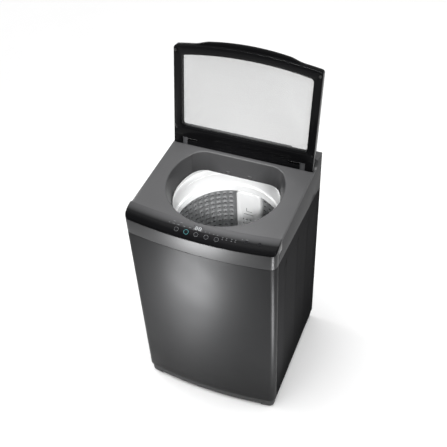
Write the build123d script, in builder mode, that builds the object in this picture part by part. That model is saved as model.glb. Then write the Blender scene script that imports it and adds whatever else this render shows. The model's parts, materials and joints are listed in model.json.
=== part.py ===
from build123d import *
import os
from math import asin, atan2, cos, degrees, hypot, radians, sin, sqrt, tan

# Top load washing machine with a glass lid, built as separate pieces.
#
# Millimetres. +Z is up, the front faces -Y. The origin lies on the floor, under the middle of the cabinet.
# The lid stands open at rest, leaning back on its hinges.

os.makedirs("parts", exist_ok=True)

# ---------------------------------------------------------------- cabinet sizes
tub_radius = 250.0          # the cabinet is built round the tub
tub_side_gap = 34.0
tub_rear_gap = 9.0
front_bow = 24.0            # the front's middle stands this far before its corners
corner_radius = 27.0        # front upright corners
rear_corner_radius = 6.0
sheet = 1.0                 # steel of the cabinet
flange = 14.0               # turned-in edges of the sheets
wrap = 30.0                 # how far the front sheet runs back along each side
panel_bottom_z = 48.0
seam_rear_z = 797.0
seam_gap = 0.8
deck_z = 944.0
console_rise = 33.0         # raised strip behind the lid
strip_below_deck = 22.0     # top of the bright strip round the front
strip_height = 66.0
bay_depth = 17.0            # room under the control panel
fit = 0.3                   # clearance between pieces that must not touch
running = 0.05              # radial clearance of a shaft in its bearing

# ribs pressed outward in the side sheets
rib_height = 3.0
rib_width = 54.0
rib_slope = 9.0
rib_tip = 75.0              # the blade's pointed end is this long
rib_bottom_z = 152.0
rib_top_drop = 38.0         # below the seam
rib_front_edges = (-187.0, -50.0, 71.0)
split_rib_front_edge = 185.0
split_rib_gap_z = (576.0, 668.0)

# rear sheet and its service cover
rear_inset = 4.0
service_beside_grommet = 9.0
service_height = 330.0
service_bottom_z = 75.0
cover_lap = 12.0
vent_count = 5
vent_pitch = 16.0
vent_height = 6.0
grommet_bore = 13.0
gland_bore = 3.6
gland_from_side = 84.0
gland_z = 700.0

# ---------------------------------------------------------------- base and feet
base_bottom_z = 12.0
base_inset = 7.0
base_wall = 4.0
base_ledge = 30.0
boot_length = 58.0          # the corners of the base reach lower than its sides
boot_drop = 8.0
foot_radius = 22.0
foot_height = 10.0
foot_inset = 48.0
spindle_radius = 5.0
pillar_size = 62.0
notch_y = 146.0           # small lifting notch in the base's sides
notch_length = 18.0
notch_height = 12.0

# ---------------------------------------------------------------- top cover and panel sizes
cover_wall = 3.0
deck_edge_radius = 7.0
console_rear_radius = 26.0
opening_corner = 70.0
opening_margin = 34.0       # the tub's wall lies this far outside the opening
opening_to_hinge = 31.0
lip_step = 18.0             # the opening narrows by this on its way down
lip_rear_step = 22.0
well_depth = 74.0
lip_corner = 62.0
rim_radius = 5.0
strip_thickness = 2.5
fascia_front = 3.0          # the fascia starts this far behind the strip's face
fascia_depth = 62.0
fascia_rise = 29.0
fascia_wall = 3.0
key_radius = 6.5
key_travel = 0.8
key_flange = 1.8
key_crown = 0.5
key_row = 21.0              # distance of the programme keys from the bow's front line
key_pitch = 37.0
key_middle_x = -2.0
power_row = 30.0
power_from_side = 64.0
start_from_power = 46.0
display_x = -1.0
display_row = 41.0
display_width = 36.0
display_height = 15.0
board_thickness = 1.6
board_depth = 22.0          # below the fascia's outer face at the middle key
board_height = 34.0
board_margin = 24.0         # beyond the outermost keys
board_forward = 6.0         # the board reaches this far before the key row
switch_radius = 3.0
key_stem = 2.5
lens_flange = 3.0
valve_from_side = 89.0
valve_below_console = 32.0
valve_size = 44.0
valve_depth = 19.0
valve_notch = 60.0
valve_notch_depth = 32.0
spigot_radius = 13.2
nozzle_x = 44.0
nozzle_above_lip = 10.0
spout_standoff = 14.0
spout_depth = 20.0
inlet_tube_radius = 6.0
nozzle_width = 16.0
nozzle_height = 9.0

# ---------------------------------------------------------------- lid sizes
hinge_from_rear = 84.0
hinge_above_deck = 19.6
console_behind_hinge = 5.0
hinge_pin_radius = 3.0
hinge_pin_length = 84.0
hinge_pin_end = 14.5
ear_width = 20.0
ear_from_lid_side = 52.0
ear_head = 6.0
ear_foot = 10.0
ear_lean = 3.0              # the ear's foot lies this far before the pin
trough_gap = 1.5
lid_tilt = 10.3             # how far the open lid leans back
lid_side_gap = 7.5
lid_front_gap = 71.5        # from the lid's front corners to the cabinet's
lid_thickness = 27.0
lid_front_thickness = 23.0
lid_hinge_depth = 13.0      # the pin lies this far under the lid's inner face
lid_heel = 24.0             # round rear end about the pin
lid_front_sagitta = 23.0
lid_corner_radius = 12.0
handle_reach = 14.0
handle_crown = 11.0         # how much farther forward its middle is than its shoulders
handle_shoulder = 57.0      # each side of the handle slopes down over this length
handle_from_side = 72.0
handle_lift = 8.0           # finger room under the handle
window_side_band = 29.5
window_rear = 50.5          # from the pin
window_front_band = 33.0
window_corner = 14.0
inner_frame_thickness = 8.0
glass_thickness = 4.0
glass_seat = 7.0
lid_wall = 3.0
lid_post_radius = 4.8
slot_skin = 6.5             # what the ear slots leave of the outer face
slot_reach = 8.5            # how far the slots reach before the pin
groove_half = 5.0

# ---------------------------------------------------------------- tub, basket and drive sizes
drum_y = 12.0
tub_wall = 3.0
tub_bottom_z = 262.0
tub_floor = 4.0
ring_below_deck = 93.0
ring_depth = 27.0
tub_rim_drop = 45.0         # below the ring's top
mouth_step = 1.5            # each ring below the lip stands back a little
balance_step = 3.5
balance_drop = 31.0
balance_height = 92.0
balance_belly_drop = 58.0
belly = 6.0
balance_gap = 11.0          # to the tub's wall
basket_gap = 8.0
ring_wall = 2.5
basket_wall = 0.8
basket_floor_z = 300.0
basket_base_height = 14.0
basket_lap = 12.0
base_plate = 4.0
ring_slope = 17.0
hole_radius = 2.6
hole_columns = 24
hole_rows = 8
hole_low_z = 350.0
hole_top_drop = 28.0
pulsator_gap = 59.0
pulsator_rim = 12.0
pulsator_dome = 34.0
pulsator_lift = 2.0         # gap over the basket's floor
pulsator_wall = 3.0
cap_seat = 24.0
vane_lift = 9.0
vane_half = 10.0
vane_count = 6
filter_angle = 2.3          # degrees round from the rear middle
filter_width = 108.0
filter_height = 236.0
filter_drop = 4.0
filter_slots = 4
filter_slot_width = 6.0
filter_slot_height = 10.0
filter_slot_pitch = 15.5
filter_slot_drops = (147.0, 171.0)
filter_depth = 23.0
filter_wall = 2.0
filter_bar = 4.0            # radius of the round bar at its foot, on which it tips inward
filter_corner = 22.0
shaft_radius = 10.0
spin_tube_radius = 17.0
bearing_radius = 31.0
bearing_height = 16.0
seal_height = 9.0
hub_radius = 42.0
bearing_lip = 24.0
plate_z = 244.0
plate_thickness = 3.0
clutch_radius = 60.0
clutch_bottom_z = 150.0
clutch_wall = 6.0
plate_radius = 118.0
pulley_radius = 74.0
pulley_z = 105.0
pulley_width = 16.0
belt_width = 9.0
belt_thickness = 5.0
post_radius = 9.0
motor_x = -135.0
motor_y = 88.0
motor_radius = 62.0
motor_height = 98.0
motor_feet = 8.0
motor_pulley_radius = 21.0
motor_shaft_radius = 6.0

# ---------------------------------------------------------------- suspension and water sizes
rod_from_side = 67.0
rod_from_front = 48.0
rod_from_rear = 44.0
rod_top_drop = 17.0
rod_radius = 4.5
rod_bottom_z = 258.0
bracket_size = 52.0
bracket_thickness = 4.0
ball_radius = 10.0
lug_radius = 19.0
lug_height = 24.0
lug_z = 330.0
cup_radius = 17.0
cup_height = 26.0
cap_radius = 16.0
cap_height = 5.0
spring_radius = 12.5
spring_wire = 2.0
spring_turns = 5
sump_inset = 31.0           # from the tub's wall to the middle of its outlet
sump_angle = 39.0           # degrees round from the right side
pump_radius = 36.0
pump_height = 52.0
pump_inlet_radius = 13.0
pump_inlet = 48.0
pump_spigot_end = 45.0      # the outlet ends this far before the cabinet's rear
hose_bottom_z = 116.0
hose_folds = 5
hose_fold_pitch = 14.0
sump_hose_wall = 3.0
sump_spigot = 22.0
hose_spigot_radius = 10.0
screw_radius = 4.0
screw_head = 2.0
screw_shank = 1.6
screw_length = 11.0

# ---------------------------------------------------------------- derived places
half_width = tub_radius + tub_side_gap
rear_sheet_y = drum_y + tub_radius + tub_rear_gap
rear_y = rear_sheet_y + rear_inset
front_y = -rear_y
cabinet_width = 2 * half_width
cabinet_depth = 2 * rear_y
bow_radius = (half_width**2 + front_bow**2) / (2 * front_bow)
bow_centre_y = front_y + bow_radius
corner_y = front_y + front_bow
wrap_end_y = corner_y + wrap
far = 2 * (cabinet_width + cabinet_depth + deck_z)    # longer than the machine, for cuts
pump_x = (tub_radius - sump_inset) * cos(radians(sump_angle))
pump_y = drum_y + (tub_radius - sump_inset) * sin(radians(sump_angle))
gland_x = gland_from_side - half_width
valve_x = half_width - valve_from_side
spindle_length = panel_bottom_z - foot_height
service_width = 2 * (pump_x - grommet_bore - 2 * cover_wall - service_beside_grommet - cover_lap)
pump_spigot_z = panel_bottom_z + pump_height / 2
cover_screw_x = (service_width + cover_lap) / 2
cover_screw_rows = [service_bottom_z - cover_lap / 2 + (service_height + cover_lap) / 2 * row for row in range(3)]
cover_screw_spots = [(side * cover_screw_x, z) for side in (-1, 1) for z in cover_screw_rows]

# heights that follow the deck
console_z = deck_z + console_rise
strip_top_z = deck_z - strip_below_deck
seam_front_z = strip_top_z - strip_height
bay_floor_z = strip_top_z - bay_depth
lip_z = deck_z - well_depth
nozzle_z = lip_z + nozzle_above_lip
valve_z = console_z - valve_below_console
ring_top_z = deck_z - ring_below_deck
ring_gap_z = ring_top_z - ring_depth
tub_top_z = ring_top_z - tub_rim_drop
balance_top_z = ring_top_z - balance_drop
balance_bottom_z = balance_top_z - balance_height
balance_step_z = balance_top_z - balance_belly_drop
filter_top_z = balance_bottom_z - filter_drop
hole_high_z = balance_bottom_z - hole_top_drop
rod_top_z = seam_rear_z - rod_top_drop
filter_slot_rows = [filter_top_z - drop for drop in filter_slot_drops]

# hinge and opening follow the rear edge, the round pieces follow the sides
hinge_y = rear_y - hinge_from_rear
hinge_z = deck_z + hinge_above_deck
console_front_y = hinge_y + console_behind_hinge
opening_rear_y = hinge_y - opening_to_hinge
lip_rear_y = opening_rear_y - lip_rear_step
opening_radius = tub_radius - opening_margin
lip_radius = opening_radius - lip_step
ring_mouth = lip_radius + mouth_step
balance_mouth = ring_mouth + balance_step
balance_belly = balance_mouth + belly
balance_outer = tub_radius - balance_gap
basket_radius = balance_outer - basket_gap
pulsator_radius = basket_radius - pulsator_gap
rod_x = half_width - rod_from_side
rod_front_y = corner_y + rod_from_front
rod_rear_y = rear_y - rod_from_rear
power_x = half_width - power_from_side
start_x = power_x - start_from_power

# lid
lid_width = cabinet_width - 2 * lid_side_gap
lid_corner_reach = hinge_y - corner_y - lid_front_gap
ear_inner = lid_width / 2 - ear_from_lid_side
hinge_pin_outer = lid_width / 2 - hinge_pin_end
hinge_pin_inner = hinge_pin_outer - hinge_pin_length
groove_inner = hinge_pin_inner + hinge_pin_radius
window_half_width = lid_width / 2 - window_side_band
handle_half_width = lid_width / 2 - handle_from_side
handle_flat_half = handle_half_width - handle_shoulder
plate_top_z = plate_z + plate_thickness
bearing_z = plate_top_z + 5
boss_top_z = bearing_z + bearing_height + seal_height + 3
post_circle = plate_radius - post_radius
tub_posts = []
for post_turn in (90, 210, 330):
    tub_posts.append((post_circle * cos(radians(post_turn)), drum_y + post_circle * sin(radians(post_turn))))


def bow_y(inset, x):
    """Y of the bowed front line, moved in by inset, at x."""
    return bow_centre_y - sqrt((bow_radius - inset) ** 2 - x**2)


def cabinet_face(inset=0.0):
    """The cabinet's outline seen from above, moved in by inset."""
    half = half_width - inset
    with BuildSketch(mode=Mode.PRIVATE) as outline:
        with BuildLine():
            front = ThreePointArc((-half, bow_y(inset, half)), (0, front_y + inset), (half, bow_y(inset, half)))
            Polyline(front @ 1, (half, rear_y - inset), (-half, rear_y - inset), front @ 0)
        make_face()
        corners = outline.vertices().sort_by(Axis.Y)
        fillet(corners[:2], max(corner_radius - inset, 1.0))
        fillet(outline.vertices().group_by(Axis.Y)[-1], max(rear_corner_radius - inset, 1.0))
    return outline.sketch


def bow_band(near, beyond, inset=0.0):
    """The strip of the outline between two lines that follow the bowed front."""
    with BuildSketch(mode=Mode.PRIVATE) as band:
        add(cabinet_face(inset))
        with Locations((0, bow_centre_y)):
            Circle(bow_radius - near, mode=Mode.INTERSECT)
            Circle(bow_radius - beyond, mode=Mode.SUBTRACT)
    return band.sketch


def wall_face(outer_inset, inner_inset):
    """The ring between two outlines."""
    with BuildSketch(mode=Mode.PRIVATE) as ring:
        add(cabinet_face(outer_inset))
        add(cabinet_face(inner_inset), mode=Mode.SUBTRACT)
    return ring.sketch


def well_face(radius, back_y, corner):
    """The washing opening: a circle with a straight rear edge."""
    with BuildSketch(mode=Mode.PRIVATE) as opening:
        with Locations((0, drum_y)):
            Circle(radius)
        with Locations((0, back_y)):
            Rectangle(far, far, align=(Align.CENTER, Align.MIN), mode=Mode.SUBTRACT)
        fillet(opening.vertices(), corner)
    return opening.sketch


def seam_z(y):
    """Height of the slanting seam under the top cover."""
    return seam_front_z + (seam_rear_z - seam_front_z) * (y - wrap_end_y) / (rear_y - wrap_end_y)



# ---------------------------------------------------------------- cabinet sheets
seam_line = [(wrap_end_y, seam_front_z), (rear_y + far, seam_z(rear_y + far)), (rear_y + far, far), (wrap_end_y, far)]

with BuildPart() as front_panel:
    with BuildSketch(Plane.XY.offset(panel_bottom_z)):
        add(wall_face(0, sheet))
        with Locations((0, wrap_end_y)):
            Rectangle(far, far, align=(Align.CENTER, Align.MIN), mode=Mode.SUBTRACT)
    extrude(amount=seam_front_z - panel_bottom_z)
    with BuildSketch(Plane.XY.offset(panel_bottom_z), Plane.XY.offset(seam_front_z - sheet)):
        add(wall_face(sheet / 2, flange))
        with Locations((0, wrap_end_y)):
            Rectangle(far, far, align=(Align.CENTER, Align.MIN), mode=Mode.SUBTRACT)
    extrude(amount=sheet)


def rib_face(front_edge, low, high, grow=0.0):
    """A blade: straight rear edge, front edge running up into the point; grow moves its sides in."""
    with BuildSketch(mode=Mode.PRIVATE) as blade:
        with BuildLine():
            Polyline(
                (front_edge + grow, low + rib_tip / 3 + grow / 2),
                (front_edge + grow, high - rib_tip - grow / 2),
                (front_edge + rib_width - grow, high - 1.6 * grow),
                (front_edge + rib_width - grow, low + grow),
                (front_edge + rib_width / 2, low + grow),
                close=True,
            )
        make_face()
    return blade.sketch


ribs = [(edge, rib_bottom_z, seam_z(edge + rib_width) - rib_top_drop) for edge in rib_front_edges]
ribs.append((split_rib_front_edge, rib_bottom_z + 2 * flange, split_rib_gap_z[0]))
ribs.append((split_rib_front_edge, split_rib_gap_z[1], seam_z(split_rib_front_edge + rib_width) - flange))

with BuildPart() as side_panel_right:
    with BuildSketch(Plane.XY.offset(panel_bottom_z)):
        add(wall_face(0, sheet))
        with Locations((0, wrap_end_y + seam_gap)):
            Rectangle(far, far, align=(Align.MIN, Align.MIN), mode=Mode.INTERSECT)
        with Locations((half_width - flange, 0)):
            Rectangle(far, far, align=(Align.MAX, Align.CENTER), mode=Mode.SUBTRACT)
    extrude(amount=seam_front_z - panel_bottom_z)
    with BuildSketch(Plane.XY.offset(panel_bottom_z)):
        with Locations((half_width - sheet / 2, wrap_end_y + seam_gap)):
            Rectangle(flange, rear_sheet_y - sheet - wrap_end_y - seam_gap, align=(Align.MAX, Align.MIN))
    extrude(amount=sheet)
    for rib_front, rib_low, rib_high in ribs:
        with BuildSketch(Plane.YZ.offset(half_width)):
            add(rib_face(rib_front, rib_low, rib_high))
        with BuildSketch(Plane.YZ.offset(half_width + rib_height)):
            add(rib_face(rib_front, rib_low, rib_high, rib_slope))
        loft(ruled=True)
    for rib_front, rib_low, rib_high in ribs:
        with BuildSketch(Plane.YZ.offset(half_width - sheet)):
            add(rib_face(rib_front, rib_low, rib_high, sheet))
        with BuildSketch(Plane.YZ.offset(half_width + rib_height - sheet)):
            add(rib_face(rib_front, rib_low, rib_high, rib_slope + sheet))
        loft(ruled=True, mode=Mode.SUBTRACT)
    with BuildSketch(Plane.YZ):
        with BuildLine():
            Polyline(*seam_line, close=True)
        make_face()
    extrude(amount=far, both=True, mode=Mode.SUBTRACT)

with BuildPart() as side_panel_left:
    mirror(side_panel_right.part, about=Plane.YZ)

rear_panel_width = cabinet_width - 2 * sheet - 6 * fit
with BuildPart() as rear_panel:
    with BuildSketch(Plane.XZ.offset(-rear_sheet_y)):
        with Locations((0, panel_bottom_z)):
            Rectangle(rear_panel_width, seam_rear_z - panel_bottom_z, align=(Align.CENTER, Align.MIN))
        with Locations((0, service_bottom_z)):
            Rectangle(service_width, service_height, align=(Align.CENTER, Align.MIN), mode=Mode.SUBTRACT)
        with Locations((pump_x, pump_spigot_z)):
            Circle(grommet_bore + cover_wall, mode=Mode.SUBTRACT)
        with Locations((gland_x, gland_z)):
            Circle(gland_bore + cover_wall, mode=Mode.SUBTRACT)
        with Locations(*cover_screw_spots):
            Circle(screw_shank + running, mode=Mode.SUBTRACT)
    extrude(amount=sheet)
    with BuildSketch(Plane.XY.offset(panel_bottom_z)):
        with Locations((0, rear_sheet_y - sheet)):
            Rectangle(rear_panel_width - 2 * flange - 2 * sheet, flange, align=(Align.CENTER, Align.MAX))
    extrude(amount=sheet)

with BuildPart() as service_cover:
    with BuildSketch(Plane.XZ.offset(-rear_sheet_y - sheet)):
        with Locations((0, service_bottom_z - cover_lap)):
            Rectangle(service_width + 2 * cover_lap, service_height + 2 * cover_lap, align=(Align.CENTER, Align.MIN))
        with Locations(*cover_screw_spots):
            Circle(screw_shank + running, mode=Mode.SUBTRACT)
    extrude(amount=sheet)
    fillet(service_cover.edges().filter_by(Axis.Y), cover_lap / 2)
    for vent in range(vent_count):
        with BuildSketch(Plane.XZ.offset(-rear_sheet_y - 2 * sheet)):
            with Locations((0, service_bottom_z + service_height / 3 + vent * vent_pitch)):
                SlotOverall(service_width / 2, vent_height)
        extrude(amount=3 * sheet, mode=Mode.SUBTRACT)

with BuildPart() as drain_grommet:
    with BuildSketch(Plane.XZ.offset(-rear_sheet_y - cover_wall)):
        with Locations((pump_x, pump_spigot_z)):
            Circle(grommet_bore + 2 * cover_wall)
            Circle(grommet_bore, mode=Mode.SUBTRACT)
    extrude(amount=cover_wall)
    with BuildSketch(Plane.XZ.offset(-rear_sheet_y)):
        with Locations((pump_x, pump_spigot_z)):
            Circle(grommet_bore + cover_wall - running)
            Circle(grommet_bore, mode=Mode.SUBTRACT)
    extrude(amount=sheet)
    with BuildSketch(Plane.XZ.offset(-rear_sheet_y + sheet)):
        with Locations((pump_x, pump_spigot_z)):
            Circle(grommet_bore + 2 * cover_wall)
            Circle(grommet_bore, mode=Mode.SUBTRACT)
    extrude(amount=cover_wall)

with BuildPart() as cord_gland:
    with BuildSketch(Plane.XZ.offset(-rear_sheet_y - cover_wall)):
        with Locations((gland_x, gland_z)):
            RegularPolygon(gland_bore + 2 * cover_wall, 6)
            Circle(gland_bore, mode=Mode.SUBTRACT)
    extrude(amount=cover_wall)
    with BuildSketch(Plane.XZ.offset(-rear_sheet_y)):
        with Locations((gland_x, gland_z)):
            Circle(gland_bore + cover_wall - running)
            Circle(gland_bore, mode=Mode.SUBTRACT)
    extrude(amount=sheet)
    with BuildSketch(Plane.XZ.offset(-rear_sheet_y + sheet)):
        with Locations((gland_x, gland_z)):
            Circle(gland_bore + 2 * cover_wall)
            Circle(gland_bore, mode=Mode.SUBTRACT)
    extrude(amount=2 * cover_wall)

# ---------------------------------------------------------------- base and feet
foot_x = half_width - foot_inset
foot_front_y = corner_y + foot_inset
foot_rear_y = rear_y - foot_inset
foot_points = {
    "front_left": (-foot_x, foot_front_y),
    "front_right": (foot_x, foot_front_y),
    "rear_left": (-foot_x, foot_rear_y),
    "rear_right": (foot_x, foot_rear_y),
}

with BuildPart() as base_frame:
    with BuildSketch(Plane.XY.offset(base_bottom_z)):
        add(wall_face(base_inset, base_inset + base_wall))
    extrude(amount=panel_bottom_z - base_bottom_z)
    with BuildSketch(Plane.XY.offset(panel_bottom_z - base_wall)):
        add(wall_face(base_inset, base_inset + base_ledge))
        with Locations((pump_x, rear_y - base_inset - base_wall)):
            Rectangle(3 * pump_radius, rear_y - pump_y + pump_radius, align=(Align.CENTER, Align.MAX))
    extrude(amount=base_wall)
    with BuildSketch(Plane.XY.offset(base_bottom_z - boot_drop)):
        add(wall_face(base_inset, base_inset + base_wall))
        Rectangle(cabinet_width - 2 * boot_length, far, mode=Mode.SUBTRACT)
        Rectangle(far, cabinet_depth - 2 * boot_length, mode=Mode.SUBTRACT)
    extrude(amount=boot_drop)
    with BuildSketch(Plane.XY.offset(base_bottom_z)):
        with Locations(*foot_points.values()):
            Rectangle(pillar_size, pillar_size)
        add(cabinet_face(base_inset), mode=Mode.INTERSECT)
    extrude(amount=panel_bottom_z - base_bottom_z)
    with BuildSketch(Plane.XY.offset(base_bottom_z)):
        with Locations(*foot_points.values()):
            Circle(spindle_radius + running)
    extrude(amount=panel_bottom_z, mode=Mode.SUBTRACT)
    with BuildSketch(Plane.YZ):
        with Locations((notch_y, base_bottom_z)):
            Rectangle(notch_length, notch_height, align=(Align.CENTER, Align.MIN))
    extrude(amount=far, both=True, mode=Mode.SUBTRACT)

feet = {}
for corner, (x, y) in foot_points.items():
    with BuildPart() as foot:
        with BuildSketch():
            with Locations((x, y)):
                Circle(foot_radius)
        extrude(amount=foot_height)
        fillet(foot.edges().group_by(Axis.Z)[0], foot_height / 5)
        fillet(foot.edges().group_by(Axis.Z)[-1], foot_height / 3)
        with BuildSketch(Plane.XY.offset(foot_height)):
            with Locations((x, y)):
                Circle(spindle_radius)
        extrude(amount=spindle_length)
    feet[corner] = foot

# ---------------------------------------------------------------- top cover
fascia_run = fascia_depth - fascia_front
fascia_radius = (fascia_run**2 + fascia_rise**2) / (2 * fascia_rise)
fascia_top_z = strip_top_z + fascia_rise
fascia_centre_z = fascia_top_z - fascia_radius
trough_radius = lid_heel + trough_gap
spigot_boss = spigot_radius + cover_wall / 2
ear_middle = ear_inner + ear_width / 2


def rounded_top(height, width, radius):
    """Upright rectangle from far below up to height, with its two top corners rounded."""
    with BuildSketch(mode=Mode.PRIVATE) as gate:
        with Locations((0, height)):
            Rectangle(width, far, align=(Align.CENTER, Align.MAX))
        fillet(gate.vertices().group_by(Axis.Y)[-1], radius)
    return gate.sketch


def cover_block(inset):
    """The cover's full outside, or the space inside its walls, moved in by inset."""
    bottom_z = seam_rear_z - cover_wall
    width = cabinet_width - 2 * inset
    edge_radius = deck_edge_radius - inset
    with BuildPart() as deck:
        with BuildSketch(Plane.XY.offset(bottom_z)):
            add(cabinet_face(inset))
        extrude(amount=deck_z - inset - bottom_z)
        with BuildSketch(Plane.XZ):
            add(rounded_top(deck_z - inset, width, edge_radius))
        extrude(amount=far, both=True, mode=Mode.INTERSECT)
    with BuildPart() as console:
        with BuildSketch(Plane.XY.offset(bottom_z)):
            add(cabinet_face(inset))
        extrude(amount=console_z - inset - bottom_z)
        with BuildSketch(Plane.XZ):
            add(rounded_top(console_z - inset, width, edge_radius))
        extrude(amount=far, both=True, mode=Mode.INTERSECT)
        with BuildSketch(Plane.YZ) as section:
            with Locations((console_front_y + inset, console_z - inset)):
                Rectangle(rear_y - console_front_y - 2 * inset, far, align=(Align.MIN, Align.MAX))
            fillet(section.vertices().sort_by(lambda v: v.X + v.Y)[-1], console_rear_radius - inset)
        extrude(amount=far, both=True, mode=Mode.INTERSECT)
    with BuildPart() as block:
        add(deck.part)
        add(console.part)
    return block.part


def well_cone(wall):
    """The sloping wall of the washing opening, moved out by wall."""
    with BuildPart() as cone:
        with BuildSketch(Plane.XY.offset(lip_z)):
            add(well_face(lip_radius + wall, lip_rear_y + wall, lip_corner + wall))
        with BuildSketch(Plane.XY.offset(deck_z)):
            add(well_face(opening_radius + wall, opening_rear_y + wall, opening_corner + wall))
        loft()
    return cone.part


def valve_recess(wall):
    """The open corner in the console where the inlet spigot stands, moved out by wall."""
    with BuildPart() as recess:
        with BuildSketch(Plane.XY.offset(valve_z - valve_notch / 2 - wall)):
            with Locations((valve_x, rear_y)):
                Rectangle(valve_notch + 2 * wall, 2 * (valve_notch_depth + wall))
        extrude(amount=far)
    return recess.part


with BuildPart() as cover_hollow:
    add(cover_block(cover_wall))
    with BuildSketch(Plane.YZ):
        with Locations((hinge_y, hinge_z)):
            Circle(trough_radius + cover_wall)
    extrude(amount=far, both=True, mode=Mode.SUBTRACT)
    add(well_cone(cover_wall), mode=Mode.SUBTRACT)
    with BuildSketch(Plane.XY.offset(bay_floor_z - cover_wall)):
        add(bow_band(0, fascia_depth + fit + cover_wall))
    extrude(amount=far, mode=Mode.SUBTRACT)
    add(valve_recess(cover_wall), mode=Mode.SUBTRACT)

with BuildPart() as top_cover:
    add(cover_block(0))
    add(cover_hollow.part, mode=Mode.SUBTRACT)
    add(well_cone(0), mode=Mode.SUBTRACT)
    rim = top_cover.edges().filter_by_position(Axis.Z, deck_z - fit, deck_z + fit)
    rim = rim.filter_by(lambda e: hypot(e.center().X, e.center().Y - drum_y) < opening_radius + 1)
    fillet(rim.filter_by(lambda e: e.center().Y < opening_rear_y + 1), rim_radius)
    with BuildSketch(Plane.YZ):
        with Locations((hinge_y, hinge_z)):
            Circle(trough_radius)
    extrude(amount=far, both=True, mode=Mode.SUBTRACT)
    with BuildSketch(Plane.YZ):
        with BuildLine():
            Polyline(
                (-far, seam_front_z + seam_gap),
                (wrap_end_y, seam_front_z + seam_gap),
                (rear_y + far, seam_z(rear_y + far) + seam_gap),
                (rear_y + far, -far),
                (-far, -far),
                close=True,
            )
        make_face()
    extrude(amount=far, both=True, mode=Mode.SUBTRACT)
    with BuildSketch(Plane.XY.offset(panel_bottom_z)):
        add(wall_face(0, strip_thickness + fit))
        with Locations((0, wrap_end_y + seam_gap)):
            Rectangle(far, far, align=(Align.CENTER, Align.MIN), mode=Mode.SUBTRACT)
    extrude(amount=far, mode=Mode.SUBTRACT)
    with BuildSketch(Plane.XY.offset(bay_floor_z)):
        add(bow_band(0, fascia_depth + fit))
    extrude(amount=far, mode=Mode.SUBTRACT)
    add(valve_recess(0), mode=Mode.SUBTRACT)
    with BuildSketch(Plane.XZ.offset(-rear_y)):
        with Locations((valve_x, valve_z)):
            Circle(spigot_boss + fit)
    extrude(amount=valve_notch_depth + 2 * cover_wall, mode=Mode.SUBTRACT)
    with BuildSketch(Plane.XY.offset(hinge_z - trough_radius - 2 * cover_wall)):
        with Locations((ear_middle, hinge_y - ear_lean), (-ear_middle, hinge_y - ear_lean)):
            Rectangle(ear_width + 2 * fit, ear_foot + 6 * fit)
    extrude(amount=3 * cover_wall, mode=Mode.SUBTRACT)
    with BuildSketch(Plane.XZ.offset(-lip_rear_y)):
        with Locations((nozzle_x, nozzle_z), (-nozzle_x, nozzle_z)):
            Rectangle(nozzle_width + 2 * fit, nozzle_height + 2 * fit)
    extrude(amount=-(opening_rear_y - lip_rear_y), mode=Mode.SUBTRACT)

with BuildPart() as front_strip:
    with BuildSketch(Plane.XY.offset(seam_front_z + seam_gap)):
        add(wall_face(0, strip_thickness))
        with Locations((0, wrap_end_y)):
            Rectangle(far, far, align=(Align.CENTER, Align.MIN), mode=Mode.SUBTRACT)
    extrude(amount=strip_top_z - seam_front_z - seam_gap)
    fillet(front_strip.edges().group_by(Axis.Z)[-1], strip_thickness * 0.4)

# hinge brackets: an ear through the trough's floor on a foot plate below it
with BuildPart() as hinge_brackets:
    for side in (-1, 1):
        with BuildSketch(Plane.YZ.offset(side * ear_middle)):
            with Locations((hinge_y, hinge_z)):
                Circle(ear_head)
            with BuildLine():
                Polyline(
                    (hinge_y - ear_head, hinge_z),
                    (hinge_y + ear_head - 1, hinge_z),
                    (hinge_y - ear_lean + ear_foot / 2, hinge_z - trough_radius - cover_wall),
                    (hinge_y - ear_lean - ear_foot / 2, hinge_z - trough_radius - cover_wall),
                    close=True,
                )
            make_face()
        extrude(amount=ear_width / 2, both=True)
        with BuildSketch(Plane.XY.offset(hinge_z - trough_radius - cover_wall)):
            with Locations((side * ear_middle, hinge_y - ear_lean)):
                Rectangle(2 * ear_width, 2.5 * ear_foot)
        extrude(amount=-cover_wall)
        with BuildSketch(Plane.YZ.offset(side * ear_middle)):
            with Locations((hinge_y, hinge_z)):
                Circle(hinge_pin_radius + running)
        extrude(amount=ear_width, both=True, mode=Mode.SUBTRACT)


# ---------------------------------------------------------------- control panel
def fascia_plane(x, row):
    """A plane on the fascia's outer face, row behind the bow line, Z pointing out of the face."""
    turn = asin(x / (bow_radius - row))
    run = fascia_depth - row
    height = fascia_centre_z + sqrt(fascia_radius**2 - run**2)
    tilt = asin(run / fascia_radius)
    out = (sin(tilt) * sin(turn), -sin(tilt) * cos(turn), cos(tilt))
    place = (x, bow_centre_y - (bow_radius - row) * cos(turn), height)
    return Plane(origin=place, x_dir=(cos(turn), sin(turn), 0), z_dir=out)


def fascia_body(inset):
    """The room under the curved face of the control panel, moved in by inset."""
    crown = fascia_radius - inset
    near = fascia_front + inset
    back = fascia_depth - inset
    front_z = fascia_centre_z + sqrt(crown**2 - (fascia_depth - near) ** 2)
    middle = (fascia_depth - (near + back) / 2) / crown
    floor_z = bay_floor_z - inset
    with BuildPart() as body:
        with BuildSketch(Plane.YZ):
            with BuildLine():
                middle_z = fascia_centre_z + crown * cos(asin(middle))
                rear_z = fascia_centre_z + sqrt(crown**2 - (fascia_depth - back) ** 2)
                top = ThreePointArc(
                    (front_y + near, front_z),
                    (front_y + (near + back) / 2, middle_z),
                    (front_y + back, rear_z),
                )
                Polyline(top @ 1, (front_y + back, floor_z), (front_y + near, floor_z), top @ 0)
            make_face()
        revolve(axis=Axis((0, bow_centre_y, 0), (0, 0, 1)))
        with BuildSketch(Plane.XY.offset(floor_z)):
            add(cabinet_face(inset))
        extrude(amount=far, mode=Mode.INTERSECT)
    return body.part


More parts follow.
